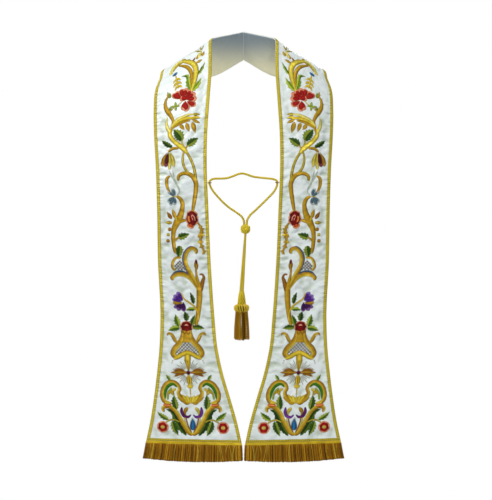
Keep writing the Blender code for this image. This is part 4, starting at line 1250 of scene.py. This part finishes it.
LONE_PETALS = [Petal(*row) for row in (
    ("coral", 8.4, [(-11, 850), (-13, 836), (-17, 820)]),
    ("coral", 7.2, [(-12, 850), (-8, 836), (-8, 824)]),
    ("coral", 7.7, [(-15, 848), (-26, 840), (-38, 832)]),
    ("coral", 7.7, [(-14, 852), (-27, 852), (-40, 848)]),
    ("coral", 7.7, [(-13, 855), (-25, 861), (-38, 863)]),
    ("coral", 7.7, [(-11, 858), (-19, 868), (-28, 877)]),
    ("coral", 7.7, [(-8, 860), (-9, 873), (-13, 886)]), ("coral", 7.7, [(-5, 860), (-1, 873), (2, 887)]),
    ("coral", 7.2, [(-2, 860), (9, 869), (14, 884)]), ("coral", 7.2, [(-2, 857), (13, 868), (25, 880)]),
    ("coral", 9.0, [(-20, 854), (-9, 858), (4, 861)]), ("violet", 5.4, [(9, 353), (14, 364), (23, 375)]),
    ("violet", 6.0, [(10, 352), (21, 360), (32, 366)]),
    ("violet", 4.8, [(12, 350), (24, 354), (35, 358)]), ("plum", 5.8, [(8, 350), (8, 338), (9, 326)]),
    ("plum", 5.8, [(9, 346), (16, 338), (24, 329)]), ("plum", 4.8, [(11, 345), (22, 340), (33, 337)]),
    ("honey", 5.2, [(9, 348), (20, 347), (34, 349)]), ("honey", 4.4, [(18, 71), (20, 80), (12, 92)]),
    ("straw", 4.4, [(-12, 71), (-14, 80), (-6, 92)]), ("straw", 5.0, [(27, 722), (21, 706), (17, 680)]),
    ("straw", 4.8, [(29, 721), (27, 700), (29, 674)]), ("wine", 7.0, [(31, 720), (33, 704), (39, 682)]),
    ("honey", 5.2, [(34, 720), (42, 704), (47, 684)]),
    ("honey", 5.0, [(-28, 424), (-29, 436), (-28, 450)]),
    ("wine", 3.2, [(-28, 436), (-29, 444), (-29, 455)]),
    ("ember", 8.6, [(-21, 548), (-19, 539), (-16, 530)]),
    ("slate", 4.7, [(17, 609), (19, 618), (25, 629)]), ("slate", 4.4, [(18, 608), (26, 615), (35, 623)]),
    ("slate", 4.9, [(17, 606), (18, 597), (22, 587)]), ("slate", 5.2, [(18, 606), (25, 598), (31, 586)]),
    ("slate", 4.9, [(19, 607), (28, 602), (37, 595)]), ("straw", 1.6, [(14, 608), (20, 608), (27, 608)]),
)]
Bloom = namedtuple("Bloom", "silk out up wide tall count turn eye")
BLOOMS = [
    Bloom("coral", 76, 42, 15, 15, 6, 0.2, 5.0), Bloom("coral", -72, 42, 15, 15, 6, 0.5, 5.0),
    Bloom("rose", 3, 289, 16.5, 15, 7, 0.5, 0), Bloom("rose", -22.5, 555, 16, 20.5, 7, 0.3, 0),
]
ON_CROSS = 1.4
Bead = namedtuple("Bead", "silk out up radius")
BEADS = [Bead(*row) for row in (
    ("honey", 33, 528, 5.0), ("straw", 37, 515, 4.6), ("honey", 38, 500, 5.0), ("blue", 25, 944, 7.6),
    ("honey", 24, 834, 3.0), ("wine", 3.3, 177, 5.4), ("honey", 40, 206, 1.6), ("honey", 42, 201, 1.5),
    ("honey", -34, 206, 1.6), ("honey", -36, 201, 1.5),
)]


def petals(rows):
    """The rims of all the petals, and then their bodies, narrower and shorter, lying on them."""
    rims, bodies = [], []
    for silk, half, places in rows:
        rim, body = PETALS[silk]
        way = route(places, 1.0)
        inner = way[len(way) // 16 : max(round(len(way) * BODY_LONG), 3)][:: max(len(way) // 6, 1)]
        rims.append(stitched(places, half * RIM_FULL, rim, "petal", height=0.8))
        bodies.append(stitched(inner, half * BODY_FULL, body, "petal", height=0.95, base=0.4))
    return rims + bodies


def bloom(row):
    """A full flower: petals in the rim's colour stand round its middle, one dark body lies on them,
    and an eye of two rings, if it has one, on that."""
    rim, body = PETALS[row.silk]
    middle = np.array((row.out, row.up), float)
    patches = []
    for number in range(row.count):
        angle = row.turn + number * 2 * math.pi / row.count
        aim = np.array((math.cos(angle) * row.wide, math.sin(angle) * row.tall))
        half = (row.wide + row.tall) * PETAL_OVERLAP / row.count
        places = [middle + aim * share for share in (0.2, 0.6, 1)]
        patches.append(stitched(places, half, rim, "petal", height=0.8))
    share = BODY_FULL if row.eye else BODY_LONG
    rise = np.array((0, row.tall * share))
    ends = [middle - rise, middle + rise]
    patches.append(stitched(ends, row.wide * share, body, "round", height=0.8, base=0.75))
    if row.eye:
        patches += bead("straw", row.out, row.up, row.eye, 1.5)
    return patches


def bead(silk, out, up, radius, base=0.0):
    """A round knot of silk: a low dome with its rim showing."""
    rim, body = PETALS[silk]
    inner = radius * 0.7
    return [
        stitched([(out - radius, up), (out + radius, up)], radius, rim, "round", 0.7, base),
        stitched([(out - inner, up), (out + inner, up)], inner, body, "round", 1.0, base + 0.3),
    ]


beads = [bead(*row, ON_CROSS if row.silk == "wine" else 0.0) for row in BEADS]
blue_bell = [
    stitched([(2, 34), (2, 69)], 8.6, PETALS["slate"][0], "drop", height=0.7),
    stitched([(2, 35), (2, 65)], 7.4, PETALS["blue"][1], "drop", height=1.2, base=0.2),
]
flower_motifs = [petals(LONE_PETALS), *map(bloom, BLOOMS), *beads, blue_bell]
flowers = sewn("silk_flowers", flower_motifs, silk_floss)

# The urn and the cross. A gilt urn holds the rose. Its body is open lattice: dark threads couched
# crosswise over the bare satin, with a pale knot at each crossing. Below it stands a gilt cross with
# feathered arms and rays of thread all round.
URN = [Stem(*row) for row in (
    ("outward", (4, 6, 6.4, 6, 6, 5, 3.4), [(30, 212), (38, 223), (33, 236), (24, 246), (18, 254),
        (14, 264), (13, 276)], 3),
    ("bright", (3.6, 4.8, 5, 5.4, 5, 4.8, 3.6), [(38, 211), (27, 215), (15, 222), (3, 226), (-9, 222),
        (-21, 215), (-32, 211)]),
    ("amber", (2.2, 3.6, 3.8, 3.4, 2.4, 1.6), [(25, 250), (32, 256), (36, 264), (41, 271), (49, 273),
        (51, 267)], 4),
    ("pale", (1, 1.6, 1), [(33, 257), (38, 266), (46, 271)], 4),
    ("bright", (2.6, 4, 5.6, 7, 6), [(3, 182), (3, 192), (3, 203), (3, 214), (3, 222)]),
    ("bright", (2, 5.5, 5.5, 3.4, 1.4), [(3, 172), (3, 163), (2.5, 153), (2, 145), (2, 138)]),
    ("bright", (1.4, 1.2), [(2, 142), (2.5, 122)]),
)]
NECK, NECK_HALF = [(3.5, 251), (3.5, 262), (3.5, 273), (3.5, 283)], (19, 16, 14.5, 14)
LINES = [Stem(*row) for row in (
    ("brown", (0.8, 1.2, 0.8), [(3, 181), (3, 194), (3, 208)]),
    ("brown", (0.8, 1.4, 0.8), [(3, 170), (2.8, 160), (2.2, 148)]),
    ("amber", (0.9, 1.5, 0.8), [(9, 177), (24, 178), (42, 177)], 2.5),
    ("brown", (1, 1.4, 1), [(-6, 279), (-1, 271), (3.5, 277), (8, 271), (13, 279)]),
)]
# Each lattice's middle, out and up, its pitch, and half of its width and of its height
LATTICES = [(3, 236, 8.4, 30, 17), (11, 442, 7.6, 14, 12)]
THREAD_HALF, KNOT_HALF = 1.0, 1.2
THREAD_LONG, LATTICE_DROOP = 1 / 3.9, 0.42
CROSS_MIDDLE = (3.0, 177.0)
RAYS, RAY_NEAR, RAY_FAR, RAY_HALF = 36, 11.0, 34.0, 0.8
UPRIGHT_ROOM, ARM_ROOM = 0.22, 0.36
DARK_THREAD = ("#1c100a", "#30201a", "#1c100a")
PALE_KNOT = ("#d9c4b4", "#f0e4d8", "#cbb4a4")
RAY_THREAD = ("#5c5428", "#8c8448", "#544c24")


def lattice(out, up, pitch, wide, tall):
    """Couched threads at 45 degrees both ways over a half ellipse that droops at both sides, and a
    knot in each mesh."""
    places = np.arange(-9, 10)
    first, second = (each.ravel() for each in np.meshgrid(places, places))
    x, y = (first - second) * pitch / 2, (first + second) * pitch / 2
    inside = (x / wide) ** 2 + ((y + LATTICE_DROOP * np.abs(x)) / tall) ** 2 < 1
    patches = []
    reach = pitch * THREAD_LONG
    for across, rise in zip(x[inside] + out, y[inside] + up):
        for lean in (-1, 1):
            ends = [(across - reach, rise - reach * lean), (across + reach, rise + reach * lean)]
            patches.append(stitched(ends, THREAD_HALF, DARK_THREAD, "block", height=0.5))
        knot = [(across - KNOT_HALF, rise + pitch / 2), (across + KNOT_HALF, rise + pitch / 2)]
        patches.append(stitched(knot, KNOT_HALF, PALE_KNOT, "round", height=0.6))
    return patches


def rays():
    """Threads that stand round the cross like the sun's rays, long ones and short ones in turn,
    left out where the arms and the upright are."""
    patches = []
    for number in range(RAYS):
        angle = 2 * math.pi * (number + 0.5) / RAYS
        aim = np.array((math.cos(angle), math.sin(angle)))
        if abs(aim[0]) > UPRIGHT_ROOM and abs(aim[1]) > ARM_ROOM:
            far = RAY_FAR * (1.0 if number % 2 else 0.8)
            ends = [CROSS_MIDDLE + aim * RAY_NEAR, CROSS_MIDDLE + aim * far]
            patches.append(stitched(ends, RAY_HALF, RAY_THREAD, "band", height=0.5))
    return patches


urn_motifs = [worked(row, height=1.3) for row in URN]
urn_motifs.append([stitched(NECK, NECK_HALF, THREADS["amber"], "block", height=1.4)])
urn_motifs += [worked(row, height=0.7, base=1.1) for row in LINES]
urn = sewn("gilt_urn_and_cross", urn_motifs, gilt_work)
threads = sewn("couched_threads", [*(lattice(*row) for row in LATTICES), rays()], silk_floss)
